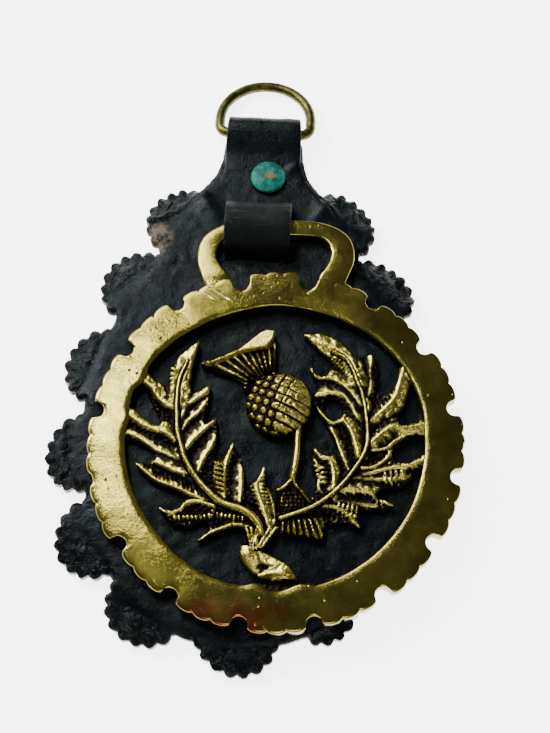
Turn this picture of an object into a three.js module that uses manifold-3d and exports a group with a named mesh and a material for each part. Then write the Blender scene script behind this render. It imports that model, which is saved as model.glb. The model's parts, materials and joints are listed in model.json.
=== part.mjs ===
// Horse brass on a leather backing, millimetres, +Z up, lying on its back.
//
// Four pieces: the leather backing (a lobed rosette whose neck is folded back over the ring's
// bar, and whose tongue comes back through two slits as the keeper), the cast brass with its
// thistle between two leaves, the D-ring and the rivet.
//
// X runs across the strap, +Y towards the ring, and Z = 0 is the surface the piece lies on.
import * as THREE from 'three';
import Module from 'manifold-3d';
import { mergeVertices } from 'three/addons/utils/BufferGeometryUtils.js';

const wasm = await Module();
wasm.setup();
const { Manifold, Mesh: ManifoldMesh } = wasm;

const RAD = Math.PI / 180;
const TAU = Math.PI * 2;
const GAP = 0.3;                    // air between two pieces that rest on each other

// Leather
const LEATHER = 2.2;                // thickness of the hide
const LAYER_GAP = 0.4;              // between the folded tab and the backing over it
const BACKING_Z = LEATHER + LAYER_GAP;
const BACKING_TOP = BACKING_Z + LEATHER;
const TONGUE = 1.7;                 // the tongue is skived thinner
const TONGUE_WIDTH = 14.2;
const FOLD_WIDTH = 16.8;
const TOOTH_PITCH = 3.1;
const TOOTH_DEPTH = 0.8;

// Ring
const WIRE = 2.3;                   // wire diameter
const RING_Y = 75;                  // the ring's bar, inside the fold
const RING_Z = LEATHER + GAP + WIRE / 2 + 0.05;
const RING_HALF = 10.3;             // half width to the middle of the wire
const RING_RISE = 4.1;              // from the bar to the centre of the bow
const RING_CORNER = 2.3;

// Rivet
const RIVET = { x: 1.4, y: 62.9, dome: 3.85, shank: 1.5, burr: 2.5 };

// Brass
const BRASS = { x: 6.1, y: 0.3, turn: 3 * RAD, z: BACKING_TOP + GAP };
const RIM_THICK = 3.0;
const RIM_RADIUS = 37.5;            // to the cusps between scallops
const SCALLOP = 0.85;               // how far a scallop stands out from the cusps
const RIM_LOBES = 16;
const NOTCH = 1.9;                  // radius of the round notch between two lobes
const WORN_NOTCH = 8;               // the one notch rubbed nearly flat
const WINDOW = 30;                  // radius of the round window
const HANGER_THICK = 2.4;

const shapeFrom = points => new THREE.Shape(points.map(([x, y]) => new THREE.Vector2(x, y)));
const mix = THREE.MathUtils.lerp;

// --- solids ------------------------------------------------------------------------------

function solid(geometry) {
  const bare = geometry.clone();
  for (const name of ['normal', 'uv']) bare.deleteAttribute(name);
  const merged = mergeVertices(bare, 1e-4);
  return new Manifold(new ManifoldMesh({
    numProp: 3,
    vertProperties: Float32Array.from(merged.attributes.position.array),
    triVerts: Uint32Array.from(merged.index.array),
  }));
}

function geometryOf(manifold) {
  const mesh = manifold.getMesh();
  const geometry = new THREE.BufferGeometry();
  geometry.setAttribute('position', new THREE.BufferAttribute(mesh.vertProperties, 3));
  geometry.setIndex(new THREE.BufferAttribute(mesh.triVerts, 1));
  geometry.computeVertexNormals();
  return geometry;
}

const joined = geometries => geometries.map(solid).reduce((whole, next) => whole.add(next));

function fromRows(vertices, triangles) {
  const geometry = new THREE.BufferGeometry();
  geometry.setAttribute('position', new THREE.Float32BufferAttribute(vertices.flat(), 3));
  geometry.setIndex(triangles.flat());
  return geometry;
}

// A skin over a row of like sections, each a loop of [x, y, z]; a ring joins its last to its first.
function loft(sections, ring = false) {
  const sides = sections[0].length;
  const triangles = [];
  const spans = ring ? sections.length : sections.length - 1;
  for (let i = 0; i < spans; i += 1) {
    const here = i * sides;
    const there = ((i + 1) % sections.length) * sides;
    for (let j = 0; j < sides; j += 1) {
      const k = (j + 1) % sides;
      triangles.push([here + j, here + k, there + k], [here + j, there + k, there + j]);
    }
  }
  if (!ring) {
    const last = (sections.length - 1) * sides;
    for (let j = 1; j < sides - 1; j += 1) {
      triangles.push([0, j + 1, j], [last, last + j, last + j + 1]);
    }
  }
  return fromRows(sections.flat(), triangles);
}

// A block with a flat underside at z = 0 under a grid of surface points [x, y, z].
function slab(grid) {
  const rows = grid.length;
  const columns = grid[0].length;
  const at = (i, j) => i * columns + j;
  const vertices = grid.flat();
  const triangles = [];
  for (let i = 0; i < rows - 1; i += 1) {
    for (let j = 0; j < columns - 1; j += 1) {
      triangles.push([at(i, j), at(i, j + 1), at(i + 1, j + 1)]);
      triangles.push([at(i, j), at(i + 1, j + 1), at(i + 1, j)]);
    }
  }
  const border = [];
  for (let j = 0; j < columns - 1; j += 1) border.push(at(0, j));
  for (let i = 0; i < rows - 1; i += 1) border.push(at(i, columns - 1));
  for (let j = columns - 1; j > 0; j -= 1) border.push(at(rows - 1, j));
  for (let i = rows - 1; i > 0; i -= 1) border.push(at(i, 0));
  const floor = vertices.length;
  for (const index of border) vertices.push([vertices[index][0], vertices[index][1], 0]);
  const middle = vertices.length;
  const mean = axis => border.reduce((sum, index) => sum + vertices[index][axis], 0) / border.length;
  vertices.push([mean(0), mean(1), 0]);
  border.forEach((index, n) => {
    const m = (n + 1) % border.length;
    triangles.push([border[m], index, floor + n], [border[m], floor + n, floor + m]);
    triangles.push([floor + m, floor + n, middle]);
  });
  return fromRows(vertices, triangles);
}

// --- leather -----------------------------------------------------------------------------

// The rosette's lobes, centre and radius: down the left side, round the foot and up the right side,
// where the hand-cut edge keeps a little closer in.
const LOBES = [
  [-16, 51.6, 9.2], [-24.9, 35.7, 8.9], [-31.2, 16.8, 8.6], [-33.4, -2.4, 8.3], [-29.2, -20, 8.5],
  [-17.8, -33, 8.4],
  [0.4, -37.4, 8.8],
  [16.6, -31.2, 7.8], [27.6, -19, 8.3], [33, -2.4, 8.3], [31.4, 16.8, 8.7], [25.3, 35.7, 9],
  [16.2, 51.6, 9.3],
];
const ROSETTE_CENTRE = [0, 8];
const FULLER = 0.09;                // the right side of the backing swells a little more

// Half of the backing's outline inside the lobes, from the neck to the foot.
const BACKING_SIDE = [
  [8.7, 73], [9, 69], [10.2, 64.3], [13.2, 60], [17, 54], [20.6, 44.2], [26.3, 35],
  [30, 25.9], [32.8, 17], [34.2, 8], [33.9, -2], [32, -11.5], [29, -21], [24.3, -29.4],
  [18, -35.2], [9.8, -39.3], [0, -41],
];

function backingPlate() {
  const side = new THREE.SplineCurve(BACKING_SIDE.map(([x, y]) => new THREE.Vector2(x, y)));
  const half = side.getPoints(32).map(({ x, y }) => [x, y]);
  const right = half.map(([x, y]) => [x * (1 + FULLER * Math.exp(-(((y + 2) / 18) ** 2))), y]);
  const left = half.slice(0, -1).reverse().map(([x, y]) => [-x, y]);
  const plate = new THREE.ExtrudeGeometry(shapeFrom([...right, ...left]),
    { depth: LEATHER, bevelEnabled: false });
  return plate.translate(0, 0, BACKING_Z);
}

// One lobe: a disc with a pinked edge that bends down to the table on its outer side.
function backingLobe([x, y, radius]) {
  const teeth = Math.round(TAU * radius / TOOTH_PITCH);
  const disc = new THREE.CylinderGeometry(radius, radius, LEATHER - 0.2, teeth * 3, 1);
  disc.rotateX(Math.PI / 2);
  const away = Math.atan2(y - ROSETTE_CENTRE[1], x - ROSETTE_CENTRE[0]);
  const point = disc.attributes.position;
  for (let i = 0; i < point.count; i += 1) {
    const reach = Math.hypot(point.getX(i), point.getY(i)) / radius;
    const angle = Math.atan2(point.getY(i), point.getX(i));
    const tooth = Math.abs(Math.sin(teeth * (angle - away) / 2));
    const out = reach * (radius - TOOTH_DEPTH * (1 - tooth));
    const outward = Math.max(0, Math.cos(angle - away)) * reach;
    point.setXYZ(i, x + out * Math.cos(angle), y + out * Math.sin(angle),
      point.getZ(i) + BACKING_Z + LEATHER / 2 - (BACKING_Z + 0.1) * Math.min(1, 1.15 * outward));
  }
  return disc;
}

// A strip of leather of even thickness that follows a path of [y, z] points.
function strip(path, thickness, width, steps) {
  const curve = new THREE.CatmullRomCurve3(path.map(([y, z]) => new THREE.Vector3(0, y, z)));
  const front = [];
  const back = [];
  for (let i = 0; i <= steps; i += 1) {
    const { y, z } = curve.getPointAt(i / steps);
    const ahead = curve.getTangentAt(i / steps);
    front.push([y + ahead.z * thickness / 2, z - ahead.y * thickness / 2]);
    back.unshift([y - ahead.z * thickness / 2, z + ahead.y * thickness / 2]);
  }
  const band = new THREE.ExtrudeGeometry(shapeFrom([...front, ...back]),
    { depth: width, bevelEnabled: false });
  return band.translate(0, 0, -width / 2).applyMatrix4(
    new THREE.Matrix4().makeBasis(new THREE.Vector3(0, 1, 0), new THREE.Vector3(0, 0, 1),
      new THREE.Vector3(1, 0, 0)));
}

// The neck rises over the ring's bar, turns round it and comes back under itself.
function neckFold() {
  const turn = (WIRE + LEATHER) / 2 + GAP;
  const round = [90, 45, 0, -45, -90].map(angle =>
    [RING_Y + turn * Math.cos(angle * RAD), RING_Z + turn * Math.sin(angle * RAD)]);
  return strip([[65, BACKING_Z + LEATHER / 2], [69, BACKING_Z + LEATHER / 2 + 0.5], [72, 5.4],
    ...round, [RING_Y - 1.2, LEATHER / 2], [RING_Y - 3, LEATHER / 2], [68, LEATHER / 2],
    [58.4, LEATHER / 2]], LEATHER, FOLD_WIDTH, 30);
}

// The tongue: up through the upper slit, over the hanger's bar, down through the lower slit.
function keeper() {
  return strip([[61, 1], [58.4, 1.2], [57, 2.2], [55.9, 4], [54.9, 6.4], [53.8, 8.9], [51.9, 10.9],
    [49.3, 11.5], [46.7, 10.7], [44.6, 8.8], [43.7, 6.3], [43.4, 4], [42.4, 2], [40.2, 1.05],
    [35, 0.95]], TONGUE, TONGUE_WIDTH, 30);
}

function slit(from, to) {
  const cut = new THREE.BoxGeometry(TONGUE_WIDTH + 2 * GAP, to - from, LEATHER + 1);
  return cut.translate(0, (from + to) / 2, BACKING_Z + LEATHER / 2);
}

function rivetHole() {
  const shank = RIVET.shank + GAP;
  const burr = RIVET.burr + GAP;
  const depth = 1.15;
  const profile = [[0, -1], [burr, -1], [burr, depth], [shank, depth], [shank, 8], [0, 8]];
  return new THREE.LatheGeometry(profile.map(([r, z]) => new THREE.Vector2(r, z)), 16)
    .rotateX(Math.PI / 2).translate(RIVET.x, RIVET.y, 0);
}

function leather() {
  const rosette = joined([backingPlate(), ...LOBES.map(backingLobe)]);
  return rosette.subtract(solid(slit(53.8, 58))).subtract(solid(slit(42.1, 44.6)))
    .add(solid(neckFold())).add(solid(keeper()))
    .subtract(solid(rivetHole()));
}

// --- brass -------------------------------------------------------------------------------

// The rim's scalloped edge: per lobe three scallops, then a round notch.
function rimOutline() {
  const points = [];
  const step = TAU / RIM_LOBES;
  const notchHalf = NOTCH / RIM_RADIUS;
  const lobeHalf = step / 2 - notchHalf;
  const scallops = [[-0.69, 0.31], [0, 0.38], [0.69, 0.31]];
  for (let lobe = 0; lobe < RIM_LOBES; lobe += 1) {
    for (const [centre, half] of scallops) {
      for (const t of [-1, -0.5, 0.5]) {
        const radius = RIM_RADIUS + SCALLOP * Math.sqrt(1 - t * t);
        const angle = lobe * step + lobeHalf * (centre + half * t);
        points.push([radius * Math.cos(angle), radius * Math.sin(angle)]);
      }
    }
    const depth = lobe === WORN_NOTCH ? 0.25 : 1;
    for (const t of [-1, -0.7, 0, 0.7]) {
      const radius = RIM_RADIUS + 0.4 - depth * NOTCH * Math.sqrt(1 - t * t);
      const angle = (lobe + 0.5) * step + notchHalf * t;
      points.push([radius * Math.cos(angle), radius * Math.sin(angle)]);
    }
  }
  return points;
}

function ellipsePoints(x, y, a, b, power = 2, count = 40) {
  return Array.from({ length: count }, (_, i) => {
    const [c, s] = [Math.cos(TAU * i / count), Math.sin(TAU * i / count)];
    return [x + a * Math.sign(c) * Math.abs(c) ** (2 / power),
      y + b * Math.sign(s) * Math.abs(s) ** (2 / power)];
  });
}

const plate = (points, thick, z = 0) =>
  new THREE.ExtrudeGeometry(shapeFrom(points), { depth: thick, bevelEnabled: false })
    .translate(0, 0, z);

function rimAndHanger() {
  const through = 12;
  const hanger = solid(plate(ellipsePoints(0.2, 42.4, 16.8, 8.6, 2.35), HANGER_THICK));
  const eye = solid(plate(ellipsePoints(-0.2, 43.2, 12.3, 4.1, 2.5), through, -3));
  const throat = solid(plate([[-9.2, 34], [9.2, 34], [9.2, 42], [-9.2, 42]], through, -3));
  const rim = solid(plate(rimOutline(), RIM_THICK));
  const slots = [-7.3, 7.4].map(x =>
    solid(plate(ellipsePoints(x, 37.2, 1.95, 3, 2.3, 16), through, -3)));
  const window = solid(plate(ellipsePoints(-0.3, 0, WINDOW, WINDOW, 2, 60), through, -3));
  return slots.reduce((whole, slot) => whole.subtract(slot),
    hanger.subtract(eye).subtract(throat).add(rim)).subtract(window);
}

// A leaf lobe, rib or stem: a ridged section with a flat underside, swept along a flat curve.
function blade(path, width, height, { steps = 4, edge = 0.55, taper = 0.85 } = {}) {
  const curve = new THREE.CatmullRomCurve3(path.map(([x, y]) => new THREE.Vector3(x, y, 0)));
  const sections = [];
  for (let i = 0; i <= steps; i += 1) {
    const s = i / steps;
    const { x, y } = curve.getPointAt(s);
    const ahead = curve.getTangentAt(s);
    const half = Math.max(0.2, width / 2 * (1 - s * s * taper) * (1 - taper * s ** 6));
    const top = height * (1 - 0.15 * s);
    const across = (t, z) => [x - ahead.y * t, y + ahead.x * t, z];
    sections.push([across(half, 0), across(half, top * edge), across(0, top),
      across(-half, top * edge), across(-half, 0)]);
  }
  return loft(sections);
}

// Lobes: root, bend and tip, then the width at the root and the height of the crest.
const LEFT_LEAF = [
  [[-19.5, 10], [-19.8, 17.5], [-16, 22.8], 5.0, 2.9],
  [[-19.5, 6.5], [-23.6, 8.4], [-27.4, 13.6], 4.6, 2.8],
  [[-19.5, 0.5], [-26, 3.6], [-31, 6.8], 3.9, 2.8],
  [[-19.8, -1.5], [-25, -0.2], [-30.8, 4.2], 3.6, 2.3],
  [[-17.5, -5], [-21, -4], [-25.2, -3.6], 3.4, 2.6],
  [[-13, -11], [-20.5, -9], [-28.3, -4], 3.6, 2.7],
  [[-11, -13], [-18, -13.4], [-24, -12.6], 4.2, 2.6],
  [[-4, -16.6], [-9.5, -17], [-15.8, -20], 3.0, 2.6],
  [[-18.9, 4], [-17, 9.5], [-12.8, 12.6], 5.2, 2.5],
  [[-18.6, -1], [-15, 1.6], [-12, 5.8], 6.2, 2.4],
  [[-11, -11.5], [-9.9, -5], [-8.9, 0.6], 6.4, 2.4],
];
const RIGHT_LEAF = [
  [[16.5, 16], [13, 21.3], [6, 24.1], 5.0, 2.9],
  [[17.3, 8], [13.5, 13.2], [7, 16.5], 4.4, 2.8],
  [[17, 5.2], [13, 9], [7.8, 10], 3.8, 2.2],
  [[17.5, 0.2], [15.6, 3], [12.3, 5.7], 4.4, 2.6],
  [[13.6, -8.6], [11.8, -4], [7.6, -1], 5.2, 2.5],
  [[11, -11], [8.8, -11], [6.4, -12.4], 3.0, 2.3],
  [[18.3, 8.5], [21.6, 12.5], [20.2, 19.8], 4.4, 2.4],
  [[18.5, 3], [25, 8], [25.9, 17.3], 5.0, 2.7],
  [[19, 0], [25, 2.2], [31, 3.7], 5.0, 2.8],
  [[17, -5], [24, -4.6], [31, -2.6], 4.8, 2.7],
  [[10.5, -11], [18, -9.8], [24, -12.8], 4.4, 2.8],
  [[8.5, -12.6], [12.6, -14], [16.3, -16.8], 4.0, 2.5],
];
const LEFT_RIB = [[-3, -18], [-5, -15], [-9.5, -12.9], [-14, -9.6], [-18.4, -3], [-20.2, 5], [-19.6, 14],
  [-17.3, 19]];
const RIGHT_RIB = [[1.2, -15.6], [7, -13.5], [13.5, -8.5], [17.5, -3], [18.7, 4], [17, 13], [12.4, 19.8]];

function leaves() {
  const lobes = [...LEFT_LEAF, ...RIGHT_LEAF].map(([root, bend, tip, width, height]) =>
    blade([root, bend, tip], width, height));
  const ribs = [LEFT_RIB, RIGHT_RIB].map(path =>
    blade(path, 1.9, 3.3, { steps: 10, edge: 0.8, taper: 0.5 }));
  const bud = blade([[-1.2, -17], [-3.6, -10.5], [-2.1, -4]], 5.6, 2.8);
  return [...lobes, ...ribs, bud];
}

// The thistle's globe: rows of small pointed scales over a dome.
function globe() {
  const rows = 15;
  const turn = -25 * RAD;
  const grid = [];
  for (let i = 0; i < rows; i += 1) {
    const row = [];
    for (let j = 0; j < rows; j += 1) {
      const [u, v] = [j / (rows - 1) * 2 - 1, i / (rows - 1) * 2 - 1];
      const [p, q] = [u * Math.sqrt(1 - v * v / 2), v * Math.sqrt(1 - u * u / 2)];
      const scale = (i % 2) * (j % 2) * 0.45;
      const dome = 1.6 + 3.4 * Math.sqrt(Math.max(0, 1 - (p * p + q * q) * 0.97));
      const [x, y] = [7.1 * p, 7 * q];
      row.push([0.9 + x * Math.cos(turn) - y * Math.sin(turn),
        8.5 + x * Math.sin(turn) + y * Math.cos(turn), dome + scale]);
    }
    grid.push(row);
  }
  return slab(grid);
}

// The flower: a fan of flutes from the globe's mouth to the crown.
function flower() {
  const flutes = 9;
  const crown = new THREE.SplineCurve([[-15, 17], [-8, 20.4], [-3, 24], [0, 24.6]]
    .map(([x, y]) => new THREE.Vector2(x, y)));
  const mouth = [[-6.5, 13], [1.4, 14.5]];
  const grid = [];
  for (let i = 0; i <= 2; i += 1) {
    const out = i / 2;
    const row = [];
    for (let j = flutes * 2; j >= 0; j -= 1) {
      const across = j / (flutes * 2);
      const { x, y } = crown.getPoint(across);
      row.push([mix(mix(mouth[0][0], mouth[1][0], across), x, out),
        mix(mix(mouth[0][1], mouth[1][1], across), y, out),
        3.5 - 0.7 * out + 0.5 * (j % 2)]);
    }
    grid.push(row.reverse());
  }
  return slab(grid);
}

// A small field of criss-cross cuts: the bract under the globe.
function bract() {
  const rows = 5;
  const grid = [];
  for (let i = 0; i < rows; i += 1) {
    const row = [];
    for (let j = 0; j < rows; j += 1) {
      const [u, v] = [j / (rows - 1), i / (rows - 1)];
      row.push([3.4 + 3.6 * (u - v), -16 + 5 * (u + v), 2 + 0.4 * (i % 2) * (j % 2)]);
    }
    grid.push(row);
  }
  return slab(grid);
}

// The short fluted lobe at the right of the stem.
function flutedLobe() {
  const flutes = 8;
  const grid = [0, 0.5, 1].map(out => Array.from({ length: flutes * 2 + 1 }, (_, j) => {
    const across = j / (flutes * 2);
    return [mix(0.2, 9.4, across), mix(-16.6 - 2.4 * out, -15.6 - 4.2 * out, across),
      2.4 + 0.4 * (j % 2) - 0.3 * out];
  }));
  return slab(grid.reverse());
}

function thistle() {
  const stem = blade([[3.4, -7], [4.3, -3], [4.2, 0], [3.6, 4]], 1.8, 2.6, { edge: 0.7, taper: 0.1 });
  const fork = [[[3.5, -5.5], [1.6, -8], [0, -11]], [[3.5, -5.5], [5.2, -9], [7.2, -13]]].map(path =>
    blade(path, 1.5, 2.6, { edge: 0.7, taper: 0.4 }));
  return [globe(), flower(), bract(), flutedLobe(), stem, ...fork];
}

// The stalks gather into a knotty foot that runs into the rim.
function foot() {
  const stalks = [[-5.6, -16.8], [-3, -16], [-0.8, -16.4], [1, -15.4]].map(([x, y]) =>
    blade([[x, y], [x * 0.6 - 1.6, -19.5], [-2.4, -22.6]], 1.9, 2.8, { edge: 0.7, taper: 0.3 }));
  const body = blade([[-5.4, -20], [-4.8, -23], [-1.5, -25.8], [0.4, -31]], 6, 3.2,
    { steps: 5, edge: 0.6, taper: -0.35 });
  const knob = new THREE.SphereGeometry(1.7, 10, 6).translate(-5.6, -22.6, 1.9);
  return [...stalks, body, knob];
}

function brass() {
  return [...leaves(), ...thistle(), ...foot()].reduce((whole, piece) => whole.add(solid(piece)),
    rimAndHanger());
}

// --- ring and rivet ----------------------------------------------------------------------

// The D: a straight bar, two tight corners and a round bow, the far end resting on the table.
function ring() {
  const sides = 8;
  const drop = -Math.asin((RING_Z - WIRE / 2) / (RING_RISE + RING_HALF));
  const path = new THREE.CurvePath();
  const corner = RING_CORNER;
  const bowStart = new THREE.Vector3(RING_HALF, RING_RISE, 0);
  path.add(new THREE.LineCurve3(new THREE.Vector3(corner - RING_HALF, 0, 0),
    new THREE.Vector3(RING_HALF - corner, 0, 0)));
  path.add(new THREE.QuadraticBezierCurve3(new THREE.Vector3(RING_HALF - corner, 0, 0),
    new THREE.Vector3(RING_HALF, 0, 0), new THREE.Vector3(RING_HALF, corner, 0)));
  path.add(new THREE.LineCurve3(new THREE.Vector3(RING_HALF, corner, 0), bowStart));
  for (const [from, to] of [[0, 90], [90, 180]]) {
    const at = angle => new THREE.Vector3(RING_HALF * Math.cos(angle * RAD),
      RING_RISE + RING_HALF * Math.sin(angle * RAD), 0);
    const pull = RING_HALF * 0.5523;
    const along = angle => new THREE.Vector3(-pull * Math.sin(angle * RAD), pull * Math.cos(angle * RAD), 0);
    path.add(new THREE.CubicBezierCurve3(at(from), at(from).add(along(from)),
      at(to).sub(along(to)), at(to)));
  }
  path.add(new THREE.LineCurve3(new THREE.Vector3(-RING_HALF, RING_RISE, 0),
    new THREE.Vector3(-RING_HALF, corner, 0)));
  path.add(new THREE.QuadraticBezierCurve3(new THREE.Vector3(-RING_HALF, corner, 0),
    new THREE.Vector3(-RING_HALF, 0, 0), new THREE.Vector3(corner - RING_HALF, 0, 0)));
  const stations = [...path.curves.keys()].flatMap(i => {
    const steps = [1, 4, 1, 8, 8, 1, 4][i];
    return Array.from({ length: steps }, (_, k) => [path.curves[i], k / steps]);
  });
  const sections = stations.map(([curve, t]) => {
    const { x, y } = curve.getPoint(t);
    const ahead = curve.getTangent(t);
    return Array.from({ length: sides }, (_, k) => {
      const angle = -TAU * (k + 0.5) / sides;
      const out = WIRE / 2 * Math.cos(angle);
      return [x + ahead.y * out, y - ahead.x * out, WIRE / 2 * Math.sin(angle)];
    });
  });
  return loft(sections, true).rotateX(drop).translate(0, RING_Y, RING_Z);
}

// Domed head, shank through both layers, and a burr sunk into the tab's underside.
function rivet() {
  const head = BACKING_TOP + GAP;
  const dome = Array.from({ length: 6 }, (_, i) => {
    const angle = i / 5 * Math.PI / 2;
    return [RIVET.dome * Math.sin(angle), head + 0.4 + 1.3 * Math.cos(angle)];
  });
  const profile = [[0, 0.15], [RIVET.burr, 0.15], [RIVET.burr, 0.85], [RIVET.shank, 0.85],
    [RIVET.shank, head], [RIVET.dome - 0.15, head], ...dome.reverse()];
  return new THREE.LatheGeometry(profile.map(([r, z]) => new THREE.Vector2(Math.max(0, r), z)), 20)
    .rotateX(Math.PI / 2).translate(RIVET.x, RIVET.y, 0);
}

// --- assembly ----------------------------------------------------------------------------

const finish = (color, roughness, metalness) =>
  new THREE.MeshStandardMaterial({ color, roughness, metalness });

function piece(name, geometry, material) {
  const mesh = new THREE.Mesh(geometry, material);
  mesh.name = name;
  return mesh;
}

const casting = piece('brass_casting', geometryOf(brass()), finish(0xa08a45, 0.42, 0.9));
casting.position.set(BRASS.x, BRASS.y, BRASS.z);
casting.rotation.z = BRASS.turn;

const horseBrass = new THREE.Group();
horseBrass.add(
  piece('leather_backing', geometryOf(leather()), finish(0x1b2223, 0.6, 0)),
  casting,
  piece('d_ring', geometryOf(solid(ring())), finish(0x5c5636, 0.4, 0.85)),
  piece('rivet', geometryOf(solid(rivet())), finish(0x3f8a7a, 0.7, 0.4)),
);

// The origin is the middle of the part's footprint, on the table.
const reach = new THREE.Box3().setFromObject(horseBrass, true);
const middle = reach.getCenter(new THREE.Vector3());
horseBrass.position.set(-middle.x, -middle.y, -reach.min.z);

export default horseBrass;
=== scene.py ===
"""A cast horse brass on its scalloped leather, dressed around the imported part.

All lengths below are millimetres until a piece is finished; the finished pieces are in metres.
The strap's frame has its origin in the middle of the rosette, the casting's in the middle of its rim.
"""

import json
import math

import bmesh
import bpy
import numpy as np
from mathutils import Matrix, Vector, noise


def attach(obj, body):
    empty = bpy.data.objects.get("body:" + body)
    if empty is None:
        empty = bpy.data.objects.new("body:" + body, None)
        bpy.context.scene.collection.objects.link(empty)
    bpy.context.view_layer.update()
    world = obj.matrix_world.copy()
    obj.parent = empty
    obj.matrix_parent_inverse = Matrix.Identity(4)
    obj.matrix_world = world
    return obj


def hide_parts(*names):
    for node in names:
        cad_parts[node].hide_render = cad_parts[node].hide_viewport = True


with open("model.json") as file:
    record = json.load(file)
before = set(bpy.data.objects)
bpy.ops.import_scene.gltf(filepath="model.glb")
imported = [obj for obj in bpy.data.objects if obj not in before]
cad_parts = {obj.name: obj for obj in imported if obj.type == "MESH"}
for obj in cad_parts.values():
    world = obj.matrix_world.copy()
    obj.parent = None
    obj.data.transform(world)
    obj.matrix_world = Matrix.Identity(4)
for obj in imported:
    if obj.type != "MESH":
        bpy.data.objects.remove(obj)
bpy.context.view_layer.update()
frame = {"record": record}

HIDE = 2.2                 # thickness of the leather
BACKING_TOP = 4.8          # upper face of the rosette
GAP = 0.3                  # air between the leather and the back of the casting
RIM_TOP = 3.0              # of the casting, above its back
WIRE = 2.3                 # diameter of the ring's wire
RING_Y, RING_Z = 75, 3.7   # the ring's bar, inside the fold
CASTING_SLIP = (6.1, 0.3, BACKING_TOP + GAP)     # the casting lies right of the strap's middle
CASTING_TURN = math.radians(3)
TINY = 1e-9

hinge = next(joint for joint in frame["record"]["behaviour"]["joints"] if joint["name"] == "ring_swing")
hinge_x, hinge_y, hinge_z = (1000 * metres for metres in hinge["pos_m"])
STRAP = Matrix.Translation((hinge_x, hinge_y - RING_Y, hinge_z - RING_Z))
CASTING = STRAP @ Matrix.Translation(CASTING_SLIP) @ Matrix.Rotation(CASTING_TURN, 4, "Z")
TO_METRES = Matrix.Scale(0.001, 4)


# --- drawing helpers ---------------------------------------------------------------------

def curve_through(points, per_span=8, closed=False):
    """A smooth line through points of any dimension."""
    points = np.asarray(points, float)
    if closed:
        held = np.concatenate([points[-1:], points, points[:2]])
    else:
        before, after = 2 * points[0] - points[1], 2 * points[-1] - points[-2]
        held = np.concatenate([[before], points, [after]])
    out = []
    for a, b, c, d in zip(held, held[1:], held[2:], held[3:]):
        for k in range(per_span):
            t = k / per_span
            out.append(0.5 * (2 * b + (c - a) * t + (2 * a - 5 * b + 4 * c - d) * t * t
                              + (3 * b - a - 3 * c + d) * t ** 3))
    if not closed:
        out.append(points[-1])
    return np.array(out)


def even(line, count):
    """The same line with its points evenly spaced."""
    run = np.concatenate([[0], np.cumsum(np.linalg.norm(np.diff(line, axis=0), axis=1))])
    where = np.linspace(0, run[-1], count)
    return np.stack([np.interp(where, run, line[:, k]) for k in range(line.shape[1])], axis=1)


def beside(line, x, y):
    """Distance to a line, which side (+ is left of its run), the fraction along it, and its length."""
    best = np.full(x.shape, np.inf)
    side = np.zeros(x.shape)
    along = np.zeros(x.shape)
    run = 0.0
    for (ax, ay), (bx, by) in zip(line[:-1], line[1:]):
        dx, dy = bx - ax, by - ay
        size = math.hypot(dx, dy) or TINY
        t = np.clip(((x - ax) * dx + (y - ay) * dy) / size ** 2, 0, 1)
        far = np.hypot(x - ax - t * dx, y - ay - t * dy)
        near = far < best
        best = np.where(near, far, best)
        side = np.where(near, np.sign(dx * (y - ay) - dy * (x - ax)), side)
        along = np.where(near, run + t * size, along)
        run += size
    return best, side, along / max(run, TINY), run


def outside(loop, x, y):
    """Signed distance to a closed outline: below zero inside it."""
    inside = np.zeros(x.shape, bool)
    best = np.full(x.shape, np.inf)
    for (ax, ay), (bx, by) in zip(loop, np.roll(loop, -1, axis=0)):
        dx, dy = bx - ax, by - ay
        t = np.clip(((x - ax) * dx + (y - ay) * dy) / (dx * dx + dy * dy + 1e-12), 0, 1)
        best = np.minimum(best, np.hypot(x - ax - t * dx, y - ay - t * dy))
        crosses = (ay > y) != (by > y)
        inside ^= crosses & (x < ax + (y - ay) * dx / (dy if abs(dy) > 1e-12 else 1e-12))
    return np.where(inside, -best, best)


def about(x, y, centre, turn):
    """The same points seen from a centre, along and across a direction."""
    dx, dy = x - centre[0], y - centre[1]
    return dx * math.cos(turn) + dy * math.sin(turn), dy * math.cos(turn) - dx * math.sin(turn)


def mound(x, y, centre, spread):
    return np.exp(-((x - centre[0]) ** 2 + (y - centre[1]) ** 2) / spread)


def ramp(value, low, high):
    """A smooth step from 0 at low to 1 at high."""
    t = np.clip((value - low) / (high - low), 0, 1)
    return t * t * (3 - 2 * t)


def soft(field, cells):
    """A field blurred over its neighbours."""
    pad = 3 * cells
    weight = np.exp(-0.5 * (np.arange(-pad, pad + 1) / cells) ** 2)
    weight /= weight.sum()
    for axis in (0, 1):
        wide = np.pad(field, [(pad, pad) if k == axis else (0, 0) for k in (0, 1)], mode="edge")
        field = sum(w * np.take(wide, range(k, k + field.shape[axis]), axis=axis)
                    for k, w in enumerate(weight))
    return field


def uneven(x, y, size, seed=0.0):
    """Smooth waves of about one unit height, for hand-made surfaces."""
    flat = [noise.noise(Vector((a / size, b / size, seed))) for a, b in zip(x.ravel(), y.ravel())]
    return np.array(flat).reshape(x.shape)


# --- piece helpers -----------------------------------------------------------------------

FURTHEST_PULL = 0.9        # how far a border may be pulled, in cells of the grid
UNDERSIDE_MARK = 0.15      # the finish's marks on the underside of a plate
SPIN_RADIUS = 10           # a section is spun at this radius before it is laid in place

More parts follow.
